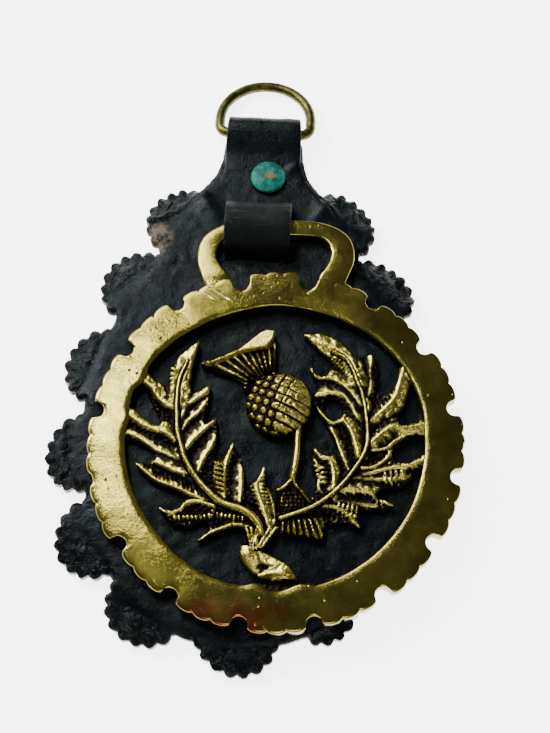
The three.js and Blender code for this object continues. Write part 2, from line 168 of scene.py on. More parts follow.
def finished(name, bm, place, body, material, crease=40):
    """Turns a bmesh in mm into a piece of the part, in metres and facing outwards."""
    bm.normal_update()
    bmesh.ops.recalc_face_normals(bm, faces=bm.faces)
    if bm.calc_volume(signed=True) < 0:
        bmesh.ops.reverse_faces(bm, faces=bm.faces)
    bmesh.ops.transform(bm, matrix=TO_METRES @ place, verts=bm.verts)
    mesh = bpy.data.meshes.new(name)
    bm.to_mesh(mesh)
    bm.free()
    mesh.materials.append(material)
    mesh.polygons.foreach_set("use_smooth", [True] * len(mesh.polygons))
    mesh.set_sharp_from_angle(angle=math.radians(crease))
    piece = bpy.data.objects.new(name, mesh)
    bpy.context.scene.collection.objects.link(piece)
    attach(piece, body)
    return piece


def plate_grid(low, high, count):
    bm = bmesh.new()
    bmesh.ops.create_grid(bm, x_segments=count[0], y_segments=count[1], size=0.5)
    stretch = Matrix.Diagonal((high[0] - low[0], high[1] - low[1], 1, 1))
    bmesh.ops.transform(bm, matrix=stretch, verts=bm.verts)
    bmesh.ops.translate(bm, vec=((low[0] + high[0]) / 2, (low[1] + high[1]) / 2, 0), verts=bm.verts)
    bm.verts.ensure_lookup_table()
    return bm


def drop_loose_corners(bm):
    """Takes away faces that hang on by a corner alone, so that the border is one clean line."""
    def is_pinched(v):
        borders = sum(len(e.link_faces) == 1 for e in v.link_edges)
        return borders == 4 and len(v.link_faces) == 2

    for v in [v for v in bm.verts if is_pinched(v)]:
        bmesh.ops.delete(bm, geom=v.link_faces[:1], context="FACES")
    alone = [f for f in bm.faces if all(e.is_boundary for e in f.edges)]
    bmesh.ops.delete(bm, geom=alone, context="FACES")


def sculpted_plate(low, high, step, form):
    """A plate worked from both faces. form(x, y) gives the signed distance to its outline, its top and
    its bottom, and named marks for the finish: a grid is trimmed to the outline and its border pulled
    onto it."""
    count = [round((high[k] - low[k]) / step) for k in (0, 1)]
    bm = plate_grid(low, high, count)
    flat = np.array([v.co[:2] for v in bm.verts])
    column, row = np.rint((flat - low) / step).astype(int).T
    x, y = np.meshgrid(np.linspace(low[0], high[0], count[0] + 1),
                       np.linspace(low[1], high[1], count[1] + 1))
    edge, top, bottom, marks = form(x, y)
    slope_y, slope_x = np.gradient(edge, step)
    at = row, column
    gap, up, down = edge[at], top[at], bottom[at]
    aim = np.stack([slope_x[at], slope_y[at]], axis=1)
    gone = [f for f in bm.faces if sum(gap[v.index] for v in f.verts) > 0]
    layers = [(bm.verts.layers.float.new(name), field[at]) for name, field in marks.items()]
    for v in bm.verts:
        v.co.z = up[v.index]
        for layer, field in layers:
            v[layer] = field[v.index]
    bottoms = {v: down[v.index] for v in bm.verts}
    pulls = {v: (gap[v.index], aim[v.index]) for v in bm.verts}
    bmesh.ops.delete(bm, geom=gone, context="FACES")
    drop_loose_corners(bm)
    most = FURTHEST_PULL * step
    for v in [v for v in bm.verts if v.is_valid and v.is_boundary]:
        far, toward = pulls[v]
        far = max(-most, min(most, far))
        v.co.x -= far * toward[0]
        v.co.y -= far * toward[1]

    def spot(v):
        return round(v.co.x, 4), round(v.co.y, 4)

    under = {spot(v): bottoms[v] for v in bm.verts}
    grown = bmesh.ops.extrude_face_region(bm, geom=bm.faces[:], use_keep_orig=True)
    for v in grown["geom"]:
        if isinstance(v, bmesh.types.BMVert):
            v.co.z = under[spot(v)]
            for layer, _ in layers:
                v[layer] = UNDERSIDE_MARK
    return bm


def swept(section, steps, place, closed=True):
    """A closed section of (s, z) points carried round, then laid where place(t, s, z) puts it."""
    bm = bmesh.new()
    outline = [bm.verts.new((SPIN_RADIUS + s, 0, z)) for s, z in section]
    edges = [bm.edges.new((a, b)) for a, b in zip(outline, outline[1:] + outline[:1])]
    turn = math.tau if closed else math.pi
    bmesh.ops.spin(bm, geom=outline + edges, cent=(0, 0, 0), axis=(0, 0, 1), angle=turn, steps=steps,
                   use_merge=closed, use_duplicate=False)
    if closed:
        bmesh.ops.remove_doubles(bm, verts=bm.verts, dist=1e-5)
    else:
        bmesh.ops.holes_fill(bm, edges=[e for e in bm.edges if e.is_boundary], sides=0)
    for v in bm.verts:
        angle = math.atan2(v.co.y, v.co.x)
        if closed or angle < -1:          # the far end of a half turn can read as -pi
            angle %= math.tau
        t = min(1.0, max(0.0, angle / turn))
        v.co = place(t, math.hypot(v.co.x, v.co.y) - SPIN_RADIUS, v.co.z)
    return bm


def rounded_bar(width, thick, corner):
    """Section of a strap or bar: s runs over the width, z over the thickness."""
    across = 6
    half_width, half_thick = width / 2, thick / 2
    points = []
    for cx, cz, start in ((half_width - corner, half_thick - corner, 0),
                          (corner - half_width, half_thick - corner, 90),
                          (corner - half_width, corner - half_thick, 180),
                          (half_width - corner, corner - half_thick, 270)):
        for k in range(4):
            angle = math.radians(start + 30 * k)
            points.append((cx + corner * math.cos(angle), cz + corner * math.sin(angle)))
        if start in (0, 180):
            side = 1 if start == 0 else -1
            span = width - 2 * corner
            points += [(side * (span / 2 - span * k / across), side * thick / 2)
                       for k in range(1, across)]
    return points


# --- the casting: rim and eye ------------------------------------------------------------

LOBES_ROUND = 16
NOTCH_CIRCLE = 38          # radius that the notches are centred on
# Half width and depth of a notch.
NOTCH, DEEP_NOTCH, RUBBED_NOTCH = (1.75, 2.1), (2.05, 3.2), (1.2, 0.4)
WORN_NOTCH = 191.25        # in degrees, as are the next
DEEP_NOTCHES = (78.75, 101.25)
# The rim's uneven window: degrees and radius.
WINDOW = [(0, 30.2), (15, 30.9), (30, 31.1), (45, 30.9), (60, 30.5), (75, 30.3), (90, 30.4),
          (105, 30.1), (120, 30.3), (135, 30.9), (146, 31.2), (153, 30.3), (159, 31.4), (165, 31.0),
          (170, 30.3), (176, 30.7), (190, 30.4), (200, 30.3), (215, 30.0), (240, 30.2), (256, 29.9),
          (262, 29.0), (270, 30.3), (279, 29.2), (286, 30.1), (320, 30.0), (345, 30.0)]


def window_radius(degrees):
    degrees %= 360
    for (a, from_r), (b, to_r) in zip(WINDOW, WINDOW[1:] + [(360, WINDOW[0][1])]):
        if a <= degrees <= b:
            return from_r + (to_r - from_r) * float(ramp(degrees, a, b))


def rim_radius(degrees):
    """Three scallops to a lobe and a round notch between lobes."""
    step = 360 / LOBES_ROUND
    lobe = round(degrees / step)
    off = degrees - lobe * step
    to_notch = math.radians(step / 2 - abs(off)) * NOTCH_CIRCLE
    notch_at = (lobe * step + math.copysign(step / 2, off)) % 360
    half, depth = DEEP_NOTCH if notch_at in DEEP_NOTCHES else NOTCH
    if abs(notch_at - WORN_NOTCH) < 1:
        half, depth = RUBBED_NOTCH
    if to_notch < half:
        return NOTCH_CIRCLE - depth * math.sqrt(1 - (to_notch / half) ** 2) ** 0.8
    scallop_span = (step - math.degrees(2 * half / NOTCH_CIRCLE)) / 3
    phase = (off / scallop_span + 0.5) % 1 - 0.5
    edge = 37.75 + 0.75 * math.sqrt(max(0, 1 - (2 * phase) ** 2 * 0.96))
    return edge + (0.18 * math.sin(lobe * 2.3) + 0.1 * math.sin(degrees * 0.31))


def cast_wave(x, y):
    """The slight wave of the cast face, shared by rim and eye so that they meet."""
    return 0.06 * noise.noise(Vector((x / 6, y / 6, 3)))


def rim():
    """The rim: fraction 0 of its width at the window, 1 at the scallops."""
    section = [(0, 0), (0, 1.3), (0, 2.6), (0.012, 2.78), (0.03, 2.91), (0.06, 3.0), (0.2, 3.02),
               (0.35, 3.03), (0.5, 3.03), (0.65, 3.03), (0.8, 3.02), (0.92, 3.0), (0.965, 2.95),
               (0.988, 2.82), (1, 2.6), (1, 1.2), (1, 0)]

    def place(t, s, z):
        degrees = 360 * t
        angle = math.radians(degrees)
        inner, outer = window_radius(degrees), rim_radius(degrees)
        radius = inner + s * (outer - inner)
        x, y = radius * math.cos(angle), radius * math.sin(angle)
        if z > 2:
            z += cast_wave(x, y)
            z -= 0.12 * math.exp(-((degrees - WORN_NOTCH) / 9) ** 2)
        return x, y, z

    return swept(section, 1440, place)


# The eye's outline outside and inside, from left foot to right foot.
EYE_OUTER = [(-14.6, 34.6), (-15.7, 38), (-16.5, 41), (-16.4, 44.4), (-15.2, 47.2), (-12.4, 49.4),
             (-8, 50.7), (0, 51.1), (8, 50.8), (12.8, 49.4), (15.7, 47.3), (17, 44.4), (17, 41),
             (15.9, 38), (14.4, 34.4)]
EYE_INNER = [(-9.2, 34.6), (-9.6, 37.4), (-11.0, 39.3), (-12.3, 41.6), (-12.4, 44), (-10.9, 46.2),
             (-7.6, 47.2), (0, 47.4), (7.6, 47.2), (10.7, 46.2), (12.1, 44), (11.9, 41.6),
             (10.8, 39.3), (9.5, 37.4), (9.2, 34.6)]


def hanger():
    """The eye: a flat bar between its two outlines, fraction 0 of its width at the outer one."""
    count = 200
    outer = even(curve_through(EYE_OUTER), count + 1)
    inner = even(curve_through(EYE_INNER), count + 1)
    section = [(0, 0), (0, 1.2), (0, 2.08), (0.02, 2.24), (0.06, 2.35), (0.14, 2.4), (0.5, 2.44),
               (0.86, 2.4), (0.95, 2.35), (0.985, 2.24), (1, 2.1), (1, 1.2), (1, 0)]

    def place(t, s, z):
        k = round(t * count)
        x, y = outer[k] * (1 - s) + inner[k] * s
        radius = math.hypot(x, y)
        # The thinner eye rises to the rim's face, then sinks into it.
        lift = 0.6 * ramp(radius, 48, 39) - 0.14 * ramp(radius, 39.5, 36)
        lift += cast_wave(x, y)
        return x, y, z + (lift if z > 1.5 else 0)

    return swept(section, count, place, closed=False)


# --- the casting: relief -----------------------------------------------------------------

LEFT_LEAF = [
    (-3.6, -18.6), (-6, -17.9), (-7.5, -17.7), (-9, -17.8), (-11, -18.4), (-13, -19.2), (-14.5, -19.9),
    (-16, -20.2), (-14.7, -19.2), (-13.7, -18.3), (-13.4, -17.3), (-13.9, -16.4), (-15, -16.1),
    (-16.5, -16.6), (-18.5, -16.9), (-20.3, -16.8), (-21.6, -15.6), (-22.8, -14.3), (-24, -12.6),
    (-22.3, -13.6), (-20.7, -13.7), (-19.3, -13.2), (-18.3, -11.9), (-18.4, -10.7), (-19, -10),
    (-20.5, -9.5), (-22, -9.1), (-23.5, -8.6), (-25, -7.8), (-26.5, -6.5), (-27.6, -5.4),
    (-28.6, -3.8), (-27, -3.8), (-26, -3.9), (-24.8, -3.4), (-24.2, -2.6), (-25, -1.5), (-26, -0.4),
    (-27.5, 0.4), (-29, 1.0), (-31.4, 1.2), (-31.4, 8.9), (-29.6, 8.2), (-28, 6.8), (-26.6, 5.4),
    (-25.2, 4.4), (-24, 4.2), (-23.5, 4.8), (-24, 6.2), (-24.8, 7.6), (-25.6, 9.3), (-26.3, 11),
    (-26.8, 12.3), (-27.6, 13.1), (-29.2, 14.6), (-27.2, 17), (-26, 15.4), (-24.9, 14), (-23.3, 13.2),
    (-22.4, 13.6), (-22.2, 15), (-21.6, 17.3), (-20, 19.6), (-18, 21.4), (-15.9, 22.8), (-15.9, 21.6),
    (-16.7, 18.5), (-17.3, 15.5), (-17.6, 12.8), (-17.1, 11.7), (-16.4, 11.6), (-15.3, 12.1),
    (-14.3, 12.7), (-13.4, 12.8), (-13.4, 11), (-13.6, 9), (-14.1, 7.2), (-14.6, 5.5), (-14.4, 4.7),
    (-13.6, 4.9), (-12.8, 5.5), (-12.1, 5.8), (-11.8, 3.5), (-11.7, 1.8), (-12.1, -0.4), (-12.5, -2.2),
    (-12, -3.2), (-11.2, -3.4), (-10.2, -2.2), (-9.4, -0.8), (-8.7, 0.6), (-8, -1), (-7.2, -2.7),
    (-6.4, -5), (-6.2, -7.7), (-6, -10), (-5.6, -12), (-4.5, -13.2), (-3, -15), (-2.4, -17),
    (-2.4, -18.6)]
RIGHT_LEAF = [
    (0.2, -18.4), (3.2, -18.8), (6.6, -19.4), (8.9, -19.9), (9.5, -18.4), (9.6, -16.6), (11.8, -16.6),
    (13.5, -16.6), (15.2, -17), (16.7, -17.6), (16.7, -15.8), (16.4, -14.2), (18.7, -13.9),
    (22.1, -13.6), (23.7, -13), (22.3, -12.2), (20.4, -11.7), (19.8, -10.5), (20.8, -9.7),
    (22.8, -9.2), (25.2, -8.9), (27.2, -7.2), (28.2, -5.7), (29.6, -5.0), (31, -4.6), (31, -2.3),
    (29.6, -2.3), (28.3, -3.2), (27, -3.9), (25.2, -3.9), (24, -3.2), (23.5, -2), (24, -0.6),
    (25.6, 0.4), (27.1, 1.4), (28.7, 1.9), (29.6, 1.6), (31, 1.6), (31.2, 4.6), (30, 5.2),
    (28.7, 4.9), (27, 4.0), (25.6, 4.0), (25.1, 4.9), (25.2, 6.6), (26.3, 8), (27, 9.7),
    (27.5, 11.1), (28.2, 12.4), (29.6, 13), (27.4, 17.6), (26, 17), (25.2, 14.2), (24.4, 12.1),
    (23.4, 11.0), (22, 10.8), (21, 11.3), (20.9, 12.5), (21.3, 14.5), (21.4, 17), (20.6, 19.8),
    (19.3, 20), (18.2, 19), (17.3, 18.2), (16.3, 19.4), (15.2, 21.2), (13.6, 22.7), (11.9, 23.7),
    (10, 24.5), (8, 24.6), (6.0, 24.0), (7.3, 22.5), (8.4, 21.2), (10.1, 19.5), (11.2, 18.6),
    (11.6, 17.6), (11.4, 16), (10.8, 15), (9.9, 14.6), (8.8, 15), (7.9, 16), (7.1, 17), (7.4, 15.4),
    (8.3, 14), (8.8, 12.5), (8.3, 11.2), (7.5, 10.4), (7.5, 8.8), (8.2, 7.5), (9, 6.2), (10, 5.2),
    (10.4, 4.6), (10.6, 3.4), (11.3, 2.2), (12, 0.8), (12.3, -0.7), (11.9, -1.9), (11, -2.4),
    (10, -2.2), (9, -1.5), (8.3, -0.9), (7.6, -0.8), (7.2, -2.5), (7.1, -4.1), (7.3, -5.6), (8, -7),
    (8, -8.4), (7.7, -9.7), (7, -11), (6.6, -12), (5.6, -11.2), (4.8, -10), (4.3, -8.6), (3.9, -7.2),
    (2.2, -7.6), (0.8, -9), (0.1, -9.9), (0.1, -12), (0.2, -15)]
RIGHT_OPENING = [(10.2, 9.8), (11, 10.4), (12.3, 10), (13.5, 8.5), (14, 6.8), (13.3, 5.3), (12, 5.1),
                 (10.8, 6), (10, 7.8)]
BUD = [(-2.3, -4.2), (-3, -6.4), (-3.8, -7.7), (-5.9, -8.9), (-6.1, -10), (-5.6, -11.7), (-4.2, -13),
       (-3.2, -15), (-2.6, -18.4), (0.2, -18.4), (0.2, -14.6), (-0.2, -12), (-0.9, -9.9),
       (-1.8, -8.1), (-2.0, -6.3)]
FLOWER = [(-15.6, 17.5), (-13, 18.2), (-10.5, 19.1), (-8, 20.2), (-6.5, 21.4), (-4.5, 23.1),
          (-3, 24.4), (-1.8, 24.9), (0, 24.7), (0.15, 22), (0.2, 19), (0.4, 15.2), (2.5, 13.6),
          (-3, 10), (-6.5, 11.4), (-7, 13.5), (-8.3, 14.5), (-10.5, 15.4), (-12.5, 16.2), (-14, 16.8)]
FOOT = [(-5.2, -16.6), (-6, -18.3), (-6.4, -20), (-7.3, -21.7), (-7.3, -23.4), (-6.4, -24.8),
        (-5, -26.4), (-3.9, -27.3), (-3.9, -28.5), (-6, -31), (7, -31), (4.6, -28.5), (3.6, -27),
        (2.6, -25.4), (1, -24.3), (-1.5, -23), (-3.2, -22), (-2.2, -20.8), (-1, -19.2), (0.4, -17.6),
        (0.4, -16.4)]

GLOBE = (0.8, 8.5)
GLOBE_RADIUS = 6.9
GLOBE_TURN = math.radians(-25)       # of its rows of scales
CUP, CUP_RADIUS = (3.1, -11.6), 3.9  # the woven ground at the foot of the stem
FOOT_KNOB, FOOT_DENT = (-5.6, -22.9), (-2.6, -25.5)
FOOT_TOP = -21.2
STEM = [(4.7, 3.4), (4.5, 1), (4.3, -2), (3.9, -4.6), (3.4, -7)]

LEFT_RIB = [(-3.1, -18.6), (-3.6, -16.6), (-5, -15), (-7, -13.7), (-9.5, -12.9), (-11.5, -12),
            (-14, -9.6), (-16.5, -6.5), (-18.4, -3), (-19.3, 0), (-20, 3), (-20.2, 7), (-20.2, 10),
            (-19.8, 14), (-18.2, 18)]
RIGHT_RIB = [(0.9, -15.7), (3, -15), (7, -13.5), (10.5, -11.3), (13.5, -8.5), (15.5, -6), (17.5, -3),
             (18.6, 0), (18.7, 4), (18, 10), (17, 13), (16, 16), (14.5, 18.5), (12, 20)]

# Crests: the line, its height at root and tip, and the fall to its left and its right.
CRESTS = [
    ([(-20, 9), (-19.4, 13), (-18.2, 18), (-15.9, 22.6)], 2.9, 2.5, 0.22, 0.18),
    ([(-20.3, 7.8), (-22.5, 8.4), (-24.5, 10.5), (-25.8, 12.6), (-29, 14.8)], 2.7, 2.7, 1.0, 0.28),
    ([(-20.6, 0.9), (-23, 2.7), (-25, 3.2), (-27.5, 4.4), (-31, 7)], 2.8, 2.8, 0.75, 0.3),
    ([(-20, -3.2), (-22.5, -1.9), (-24.6, -0.9), (-28, 1.6), (-31, 3)], 2.4, 2.1, 0.6, 0.3),
    ([(-18.6, -6.2), (-21, -5.4), (-23, -4.3), (-25.2, -3.4)], 2.6, 2.3, 0.9, 0.3),
    ([(-14.5, -11.8), (-17, -10.7), (-20.5, -9.0), (-24, -7.6), (-26.5, -5.7), (-28.4, -4)], 2.8, 2.4,
     1.4, 0.45),
    ([(-12.5, -12.9), (-16, -11.9), (-18, -12.1), (-19.2, -13.4), (-21.4, -14), (-23.8, -12.8)], 2.8,
     2.2, 0.7, 1.2),
    ([(-3.5, -17.8), (-6, -17.2), (-8.5, -16.8), (-11, -17.6), (-13.5, -18.6), (-15.7, -20)], 2.7, 2.2,
     1.6, 0.8),
    ([(-19, 6), (-18.2, 8.2), (-16.2, 9.9), (-14.5, 11.2), (-13.5, 12.6)], 2.7, 2.3, 0.28, 0.7),
    ([(-19.6, 2), (-17.8, 5), (-15.8, 7), (-14.4, 9)], 2.5, 2.1, 0.3, 0.7),
    ([(-18.6, -2), (-16.9, 0.8), (-14.8, 2.9), (-12.2, 5.6)], 2.7, 2.2, 0.28, 0.8),
    ([(-16, -6.5), (-14.6, -3), (-13.2, -0.5), (-12.3, 1.5)], 2.4, 2.0, 0.32, 0.6),
    ([(-10.2, -11.8), (-10.6, -8), (-10, -4), (-8.8, 0.4)], 2.7, 2.2, 0.35, 0.55),
    ([(-7.2, -12.4), (-6.9, -9), (-6.9, -5)], 2.4, 2.0, 0.3, 0.5),
    ([(16.8, 13.5), (15.9, 17), (14.2, 19.6), (11, 21.7), (6.2, 24)], 3.0, 2.5, 0.3, 0.25),
    ([(17.4, 8.2), (15.5, 11), (13.5, 12.9), (11, 14.3), (8.5, 14.6), (7.1, 17)], 2.9, 2.3, 1.1, 0.22),
    ([(16.8, 5.5), (14.6, 9.8), (12, 11), (9.5, 10.8), (7.7, 10)], 2.5, 2.1, 0.7, 0.3),
    ([(17.2, 3), (15, 5.2), (11.5, 4.6), (9.6, 6.2), (8, 8.4)], 2.3, 2.0, 0.6, 0.35),
    ([(16.6, -3), (16.1, 0), (15.2, 3), (13.8, 4.8), (12, 5.4)], 2.8, 2.3, 1.1, 0.28),
    ([(14.8, -6), (13.6, -2.6), (12.4, 0.8), (11.4, 3.4)], 2.4, 2.0, 0.6, 0.35),
    ([(11.4, -10.4), (11.6, -6.4), (10.8, -3.4), (9.2, -3), (7.7, -0.9)], 2.8, 2.2, 0.9, 0.3),
    ([(10, -11.2), (8.6, -9), (9, -6), (8, -3.4)], 2.1, 2.1, 0.7, 0.7),
    ([(8, -12.4), (6.9, -10.8), (6.6, -11.9)], 2.0, 1.8, 0.9, 0.9),
    ([(18.6, 8.6), (19.8, 12), (19.8, 16), (20.3, 19.7)], 2.3, 1.9, 0.32, 0.5),
    ([(19.3, 4.8), (22.5, 7.6), (24.9, 10.6), (25.8, 13.6), (27, 17.4)], 2.4, 2.8, 0.45, 0.24),
    ([(19.6, 0.4), (22, 2.4), (24, 3.7), (27, 3.4), (31, 4.2)], 2.8, 2.8, 0.45, 0.3),
    ([(19.4, -1.6), (22.6, -1), (24.2, 0.4), (27.2, 1.9), (31, 2.8)], 2.5, 2.5, 0.9, 1.2),
    ([(17.4, -5.4), (20, -5), (22.4, -3.4), (23.6, -1.6)], 2.7, 2.4, 0.5, 1.0),
    ([(18, -6.6), (23.5, -5.2), (27, -4.7), (31, -3)], 2.4, 2.7, 0.4, 0.5),
    ([(12.5, -9.9), (15.4, -9.9), (19, -10.3), (21, -11.6), (23.7, -12.9)], 2.8, 2.3, 0.3, 0.5),
    ([(14.6, -7.4), (18, -7.6), (22, -7.6), (26, -7.2)], 2.4, 2.1, 0.3, 0.6),
    ([(8.5, -12.9), (11.5, -13.2), (14, -14.4), (16.5, -17.4)], 2.6, 2.0, 0.5, 0.6),
    ([(12, -11.8), (16, -12.6), (20, -13)], 2.2, 1.9, 0.3, 0.5),
    ([(-1.2, -18.4), (-2.4, -14), (-3.6, -10.5), (-3.9, -8), (-2.3, -4.2)], 2.9, 2.4, 0.6, 0.35),
    ([(0.3, -18), (-0.3, -13), (-1.4, -9.5)], 2.4, 2.1, 0.32, 0.6),
]
FOOT_FOLDS = [
    [(-3.6, -22), (-1.2, -23.2), (1.1, -24.5), (2.8, -26), (4.2, -28.4)],
    [(-3.6, -27.2), (-1.6, -26.9), (1, -26.8), (2.6, -27.2)],
]
FOOT_SPINE = [(-5.4, -21.6), (-5, -23.4), (-1.8, -24.9), (1.4, -26.2)]
FOOT_TOE = [(-3.7, -28.8), (-1.5, -28.4), (1, -28), (3.2, -27.9), (4.6, -28.4), (3, -31), (-3, -31)]
CROWN_LINE = [(-15.4, 17.4), (-12, 18.2), (-8, 19.9), (-4, 20.7), (-1.9, 21.1), (-0.6, 22.6), (0.1, 24.4)]
FLUTED_LOBE = [(0.3, -16), (9.2, -15.4), (9.9, -18.4), (9, -20.2), (0.2, -18.7)]
RUNGS = [(-12.5, -3.6), (-10.5, -3.6), (-10.4, -10.6), (-11.8, -10.8), (-12.8, -7)]
# Rows of seeds: from, to, pitch, size and height.
SEED_ROWS = [
    ((-21.9, 17), (-21, 13.4), 1.1, 0.5, 2.75), ((-21.1, 16.9), (-20.7, 13.6), 1.1, 0.42, 2.75),
    ((8.2, -4.2), (8.6, -6.4), 1.0, 0.5, 2.6), ((9.4, -4.6), (9.8, -8.6), 1.0, 0.5, 2.5),
    ((12.2, -12.6), (16.6, -13.9), 0.9, 0.48, 2.5), ((12, -13.8), (15.6, -15), 0.9, 0.45, 2.3),
    ((21.6, -6.6), (25.4, -6), 1.1, 0.55, 2.5), ((21.6, -7.8), (24.6, -7.4), 1.0, 0.5, 2.4),
    ((-2.8, -8.2), (-2.5, -12), 0.75, 0.36, 2.7), ((-1.9, -9), (-1.4, -15.6), 0.75, 0.34, 2.6),
    ((-1.4, -16), (-0.4, -16.2), 0.7, 0.38, 2.8), ((-20.6, -15.4), (-13.4, -15), 0.85, 0.4, 2.4),
    ((-13, -14.6), (-6.4, -15.4), 0.85, 0.4, 2.5), ((11.6, 18.6), (16.2, 14), 0.7, 0.32, 2.9),
    ((12.8, 19), (16.6, 14.8), 0.7, 0.3, 2.9),
]
# Rounded cords: the line, its half width at root and tip, and its height.
CORDS = [
    (LEFT_RIB, 0.85, 0.26, 3.3),
    (RIGHT_RIB, 0.5, 0.26, 3.25),
    (STEM, 0.85, 0.85, 2.7),
    ([(3.4, -6.4), (2.9, -7.6), (1.7, -8.9), (0.1, -9.7)], 0.5, 0.3, 2.2),
    ([(3.6, -6.4), (3.9, -8.2), (5.2, -10), (6.8, -12.2)], 0.45, 0.25, 2.0),
    ([(-5.9, -17.8), (-5.4, -19.4), (-4.6, -21.8)], 0.42, 0.4, 2.7),
    ([(-4.9, -17.6), (-4.6, -19.4), (-4.1, -21.8)], 0.42, 0.4, 2.8),
    ([(-3.9, -17.9), (-3.9, -19.4), (-3.7, -21.8)], 0.42, 0.4, 2.8),
    ([(0.1, -17.6), (-1.2, -19.2), (-3, -21.6)], 0.42, 0.36, 2.8),
    ([(-1.2, -17.8), (-2.2, -19.2), (-3.4, -21.4)], 0.42, 0.36, 2.7),
]

GROUND = 1.3               # height of the sunk grounds of the leaves
STROKE_PITCH, RUNG_PITCH, WEAVE_PITCH = 1.05, 1.02, 1.7
SCALE_WIDTH, SCALE_HEIGHT = 1.85, 1.8
LOWEST = 0.7               # the relief is nowhere thinner


def fan(x, y, centre, start, end, count, low, high):
    """Height of flutes that spread like a fan between two directions, in degrees."""
    turn = np.degrees(np.arctan2(y - centre[1], x - centre[0]))
    across = (turn - start) / (end - start)
    return (0.5 + 0.5 * np.cos(math.tau * count * across)) * (high - low) + low


def leaf_crests(x, y):
    """Height of the leaves, how far along and off the nearest crest, and how steeply that falls."""
    height = np.full(x.shape, GROUND)
    along_mm, off, falling = np.zeros(x.shape), np.zeros(x.shape), np.zeros(x.shape)
    for points, root, tip, fall_left, fall_right in CRESTS:
        far, side, along, run = beside(curve_through(points, 5), x, y)
        fall = np.where(side > 0, fall_left, fall_right)
        ridge = root + (tip - root) * along - fall * np.sqrt(far ** 2 + 0.01)
        ridge -= 0.6 * np.maximum(0, far - 2)
        wins = ridge > height
        height = np.where(wins, ridge, height)
        along_mm = np.where(wins, along * run, along_mm)
        off = np.where(wins, far, off)
        falling = np.where(wins, fall, falling)
    return height, along_mm, off, falling


def leaves(x, y, drift):
    """The leaves: strokes across the steeper flanks, leaning towards the tip, and grainy grounds."""
    height, along_mm, off, falling = leaf_crests(x, y)
    steep = ramp(falling, 0.27, 0.5)
    strokes = 0.5 + 0.5 * np.cos(math.tau * ((along_mm - 0.75 * off) / STROKE_PITCH + drift))
    deep = 0.3 + 0.6 * np.clip(uneven(x, y, 2.1, 22) + 0.25, 0, 1)
    height -= deep * strokes * steep * ramp(off, 0.3, 0.8)
    height += 0.3 * uneven(x, y, 0.55, 23) * steep * ramp(off, 0.35, 0.9)
    height += (0.24 * uneven(x, y, 1.1, 24) + 0.12 * uneven(x, y, 0.5, 33)) * ramp(off, 0.2, 0.8)
    height = np.where(height < GROUND + 0.2, GROUND + 0.05 + 0.7 * uneven(x, y, 0.5, 4), height)
    return height, steep


def with_seeds(x, y, height):
    """Rows of seeds and rungs beside the crests."""
    ragged = 1 + 0.55 * uneven(x, y, 1.3, 31)
    for start, end, pitch, size, lift in SEED_ROWS:
        far, _, along, run = beside(np.array([start, end]), x, y)
        beat = np.abs((along * run / pitch) % 1 - 0.5) * pitch
        bead = 1 - ((far / 1.7) ** 2 + (beat / 0.75) ** 2) / (size * ragged) ** 2
        seed = lift - 0.6 + 0.5 * np.sqrt(np.maximum(bead, 0))
        height = np.where(bead > 0, np.maximum(height, seed), height)
    rungs = 2.3 + 0.35 * np.cos(math.tau * (y + 0.35 * x) / RUNG_PITCH)
    return np.where(outside(RUNGS, x, y) < 0, rungs, height)


def with_flutes(x, y, height, right, drift):
    """The fluted lobe right of the stem, and the woven cup over it."""
    flutes = fan(x, y, centre=(2.5, -3), start=-95, end=-63, count=7, low=1.7, high=2.6)
    height = np.where(outside(FLUTED_LOBE, x, y) < 0, np.maximum(flutes, 1.4), height)
    cup = np.hypot(x - CUP[0], y - CUP[1]) < CUP_RADIUS
    slant = drift * 0.8
    weave = np.cos(math.tau * (x + 0.9 * y + slant) / WEAVE_PITCH)
    weave = weave * np.cos(math.tau * (x - 1.1 * y + slant) / WEAVE_PITCH)
    woven = 1.35 + 0.3 * weave + 0.3 * uneven(x, y, 0.7, 25)
    return np.where(cup & (right < 0), woven, height)


def knotty_foot(x, y):
    """The foot: a knotty lump with a dent, lower where it runs into the rim."""
    folds = np.minimum.reduce([beside(curve_through(line, 5), x, y)[0] for line in FOOT_FOLDS])
    spine = beside(curve_through(FOOT_SPINE), x, y)[0]
    body = 3.2 - 0.16 * spine ** 2 + 0.3 * ramp(folds, 0.6, 0)
    body += 0.35 * mound(x, y, FOOT_KNOB, 2.2)
    body += mound(x, y, FOOT_DENT, 1.4) * (0.9 * uneven(x, y, 0.7, 26) - 0.75)
    body += 0.16 * uneven(x, y, 1.6, 2) + 0.1 * uneven(x, y, 0.6, 26)
    return np.where(outside(FOOT_TOE, x, y) < 0, 1.1 + 0.25 * uneven(x, y, 0.8, 5), body)


def thistle_flower(x, y):
    """The flower: a flat crown, and flutes that spread from the globe's mouth below its line."""
    far, side, _, _ = beside(curve_through(CROWN_LINE, 6), x, y)
    above = side > 0
    flutes = fan(x, y, centre=(-0.6, 11.4), start=161, end=86, count=9, low=-0.42, high=0.3)
    throat = 2.5 - 0.14 * far + flutes * ramp(far, 0.2, 0.9) - 0.6 * ramp(-x, 6, 13)
    throat += 0.3 * uneven(x, y, 0.8, 27) * ramp(far, 0.6, 2.5)
    lip = 3.75 - 0.55 * ramp(-x, 4, 15)
    return np.where(above, lip - 0.05 * far, np.maximum(lip - 2.0 * far, throat)), above


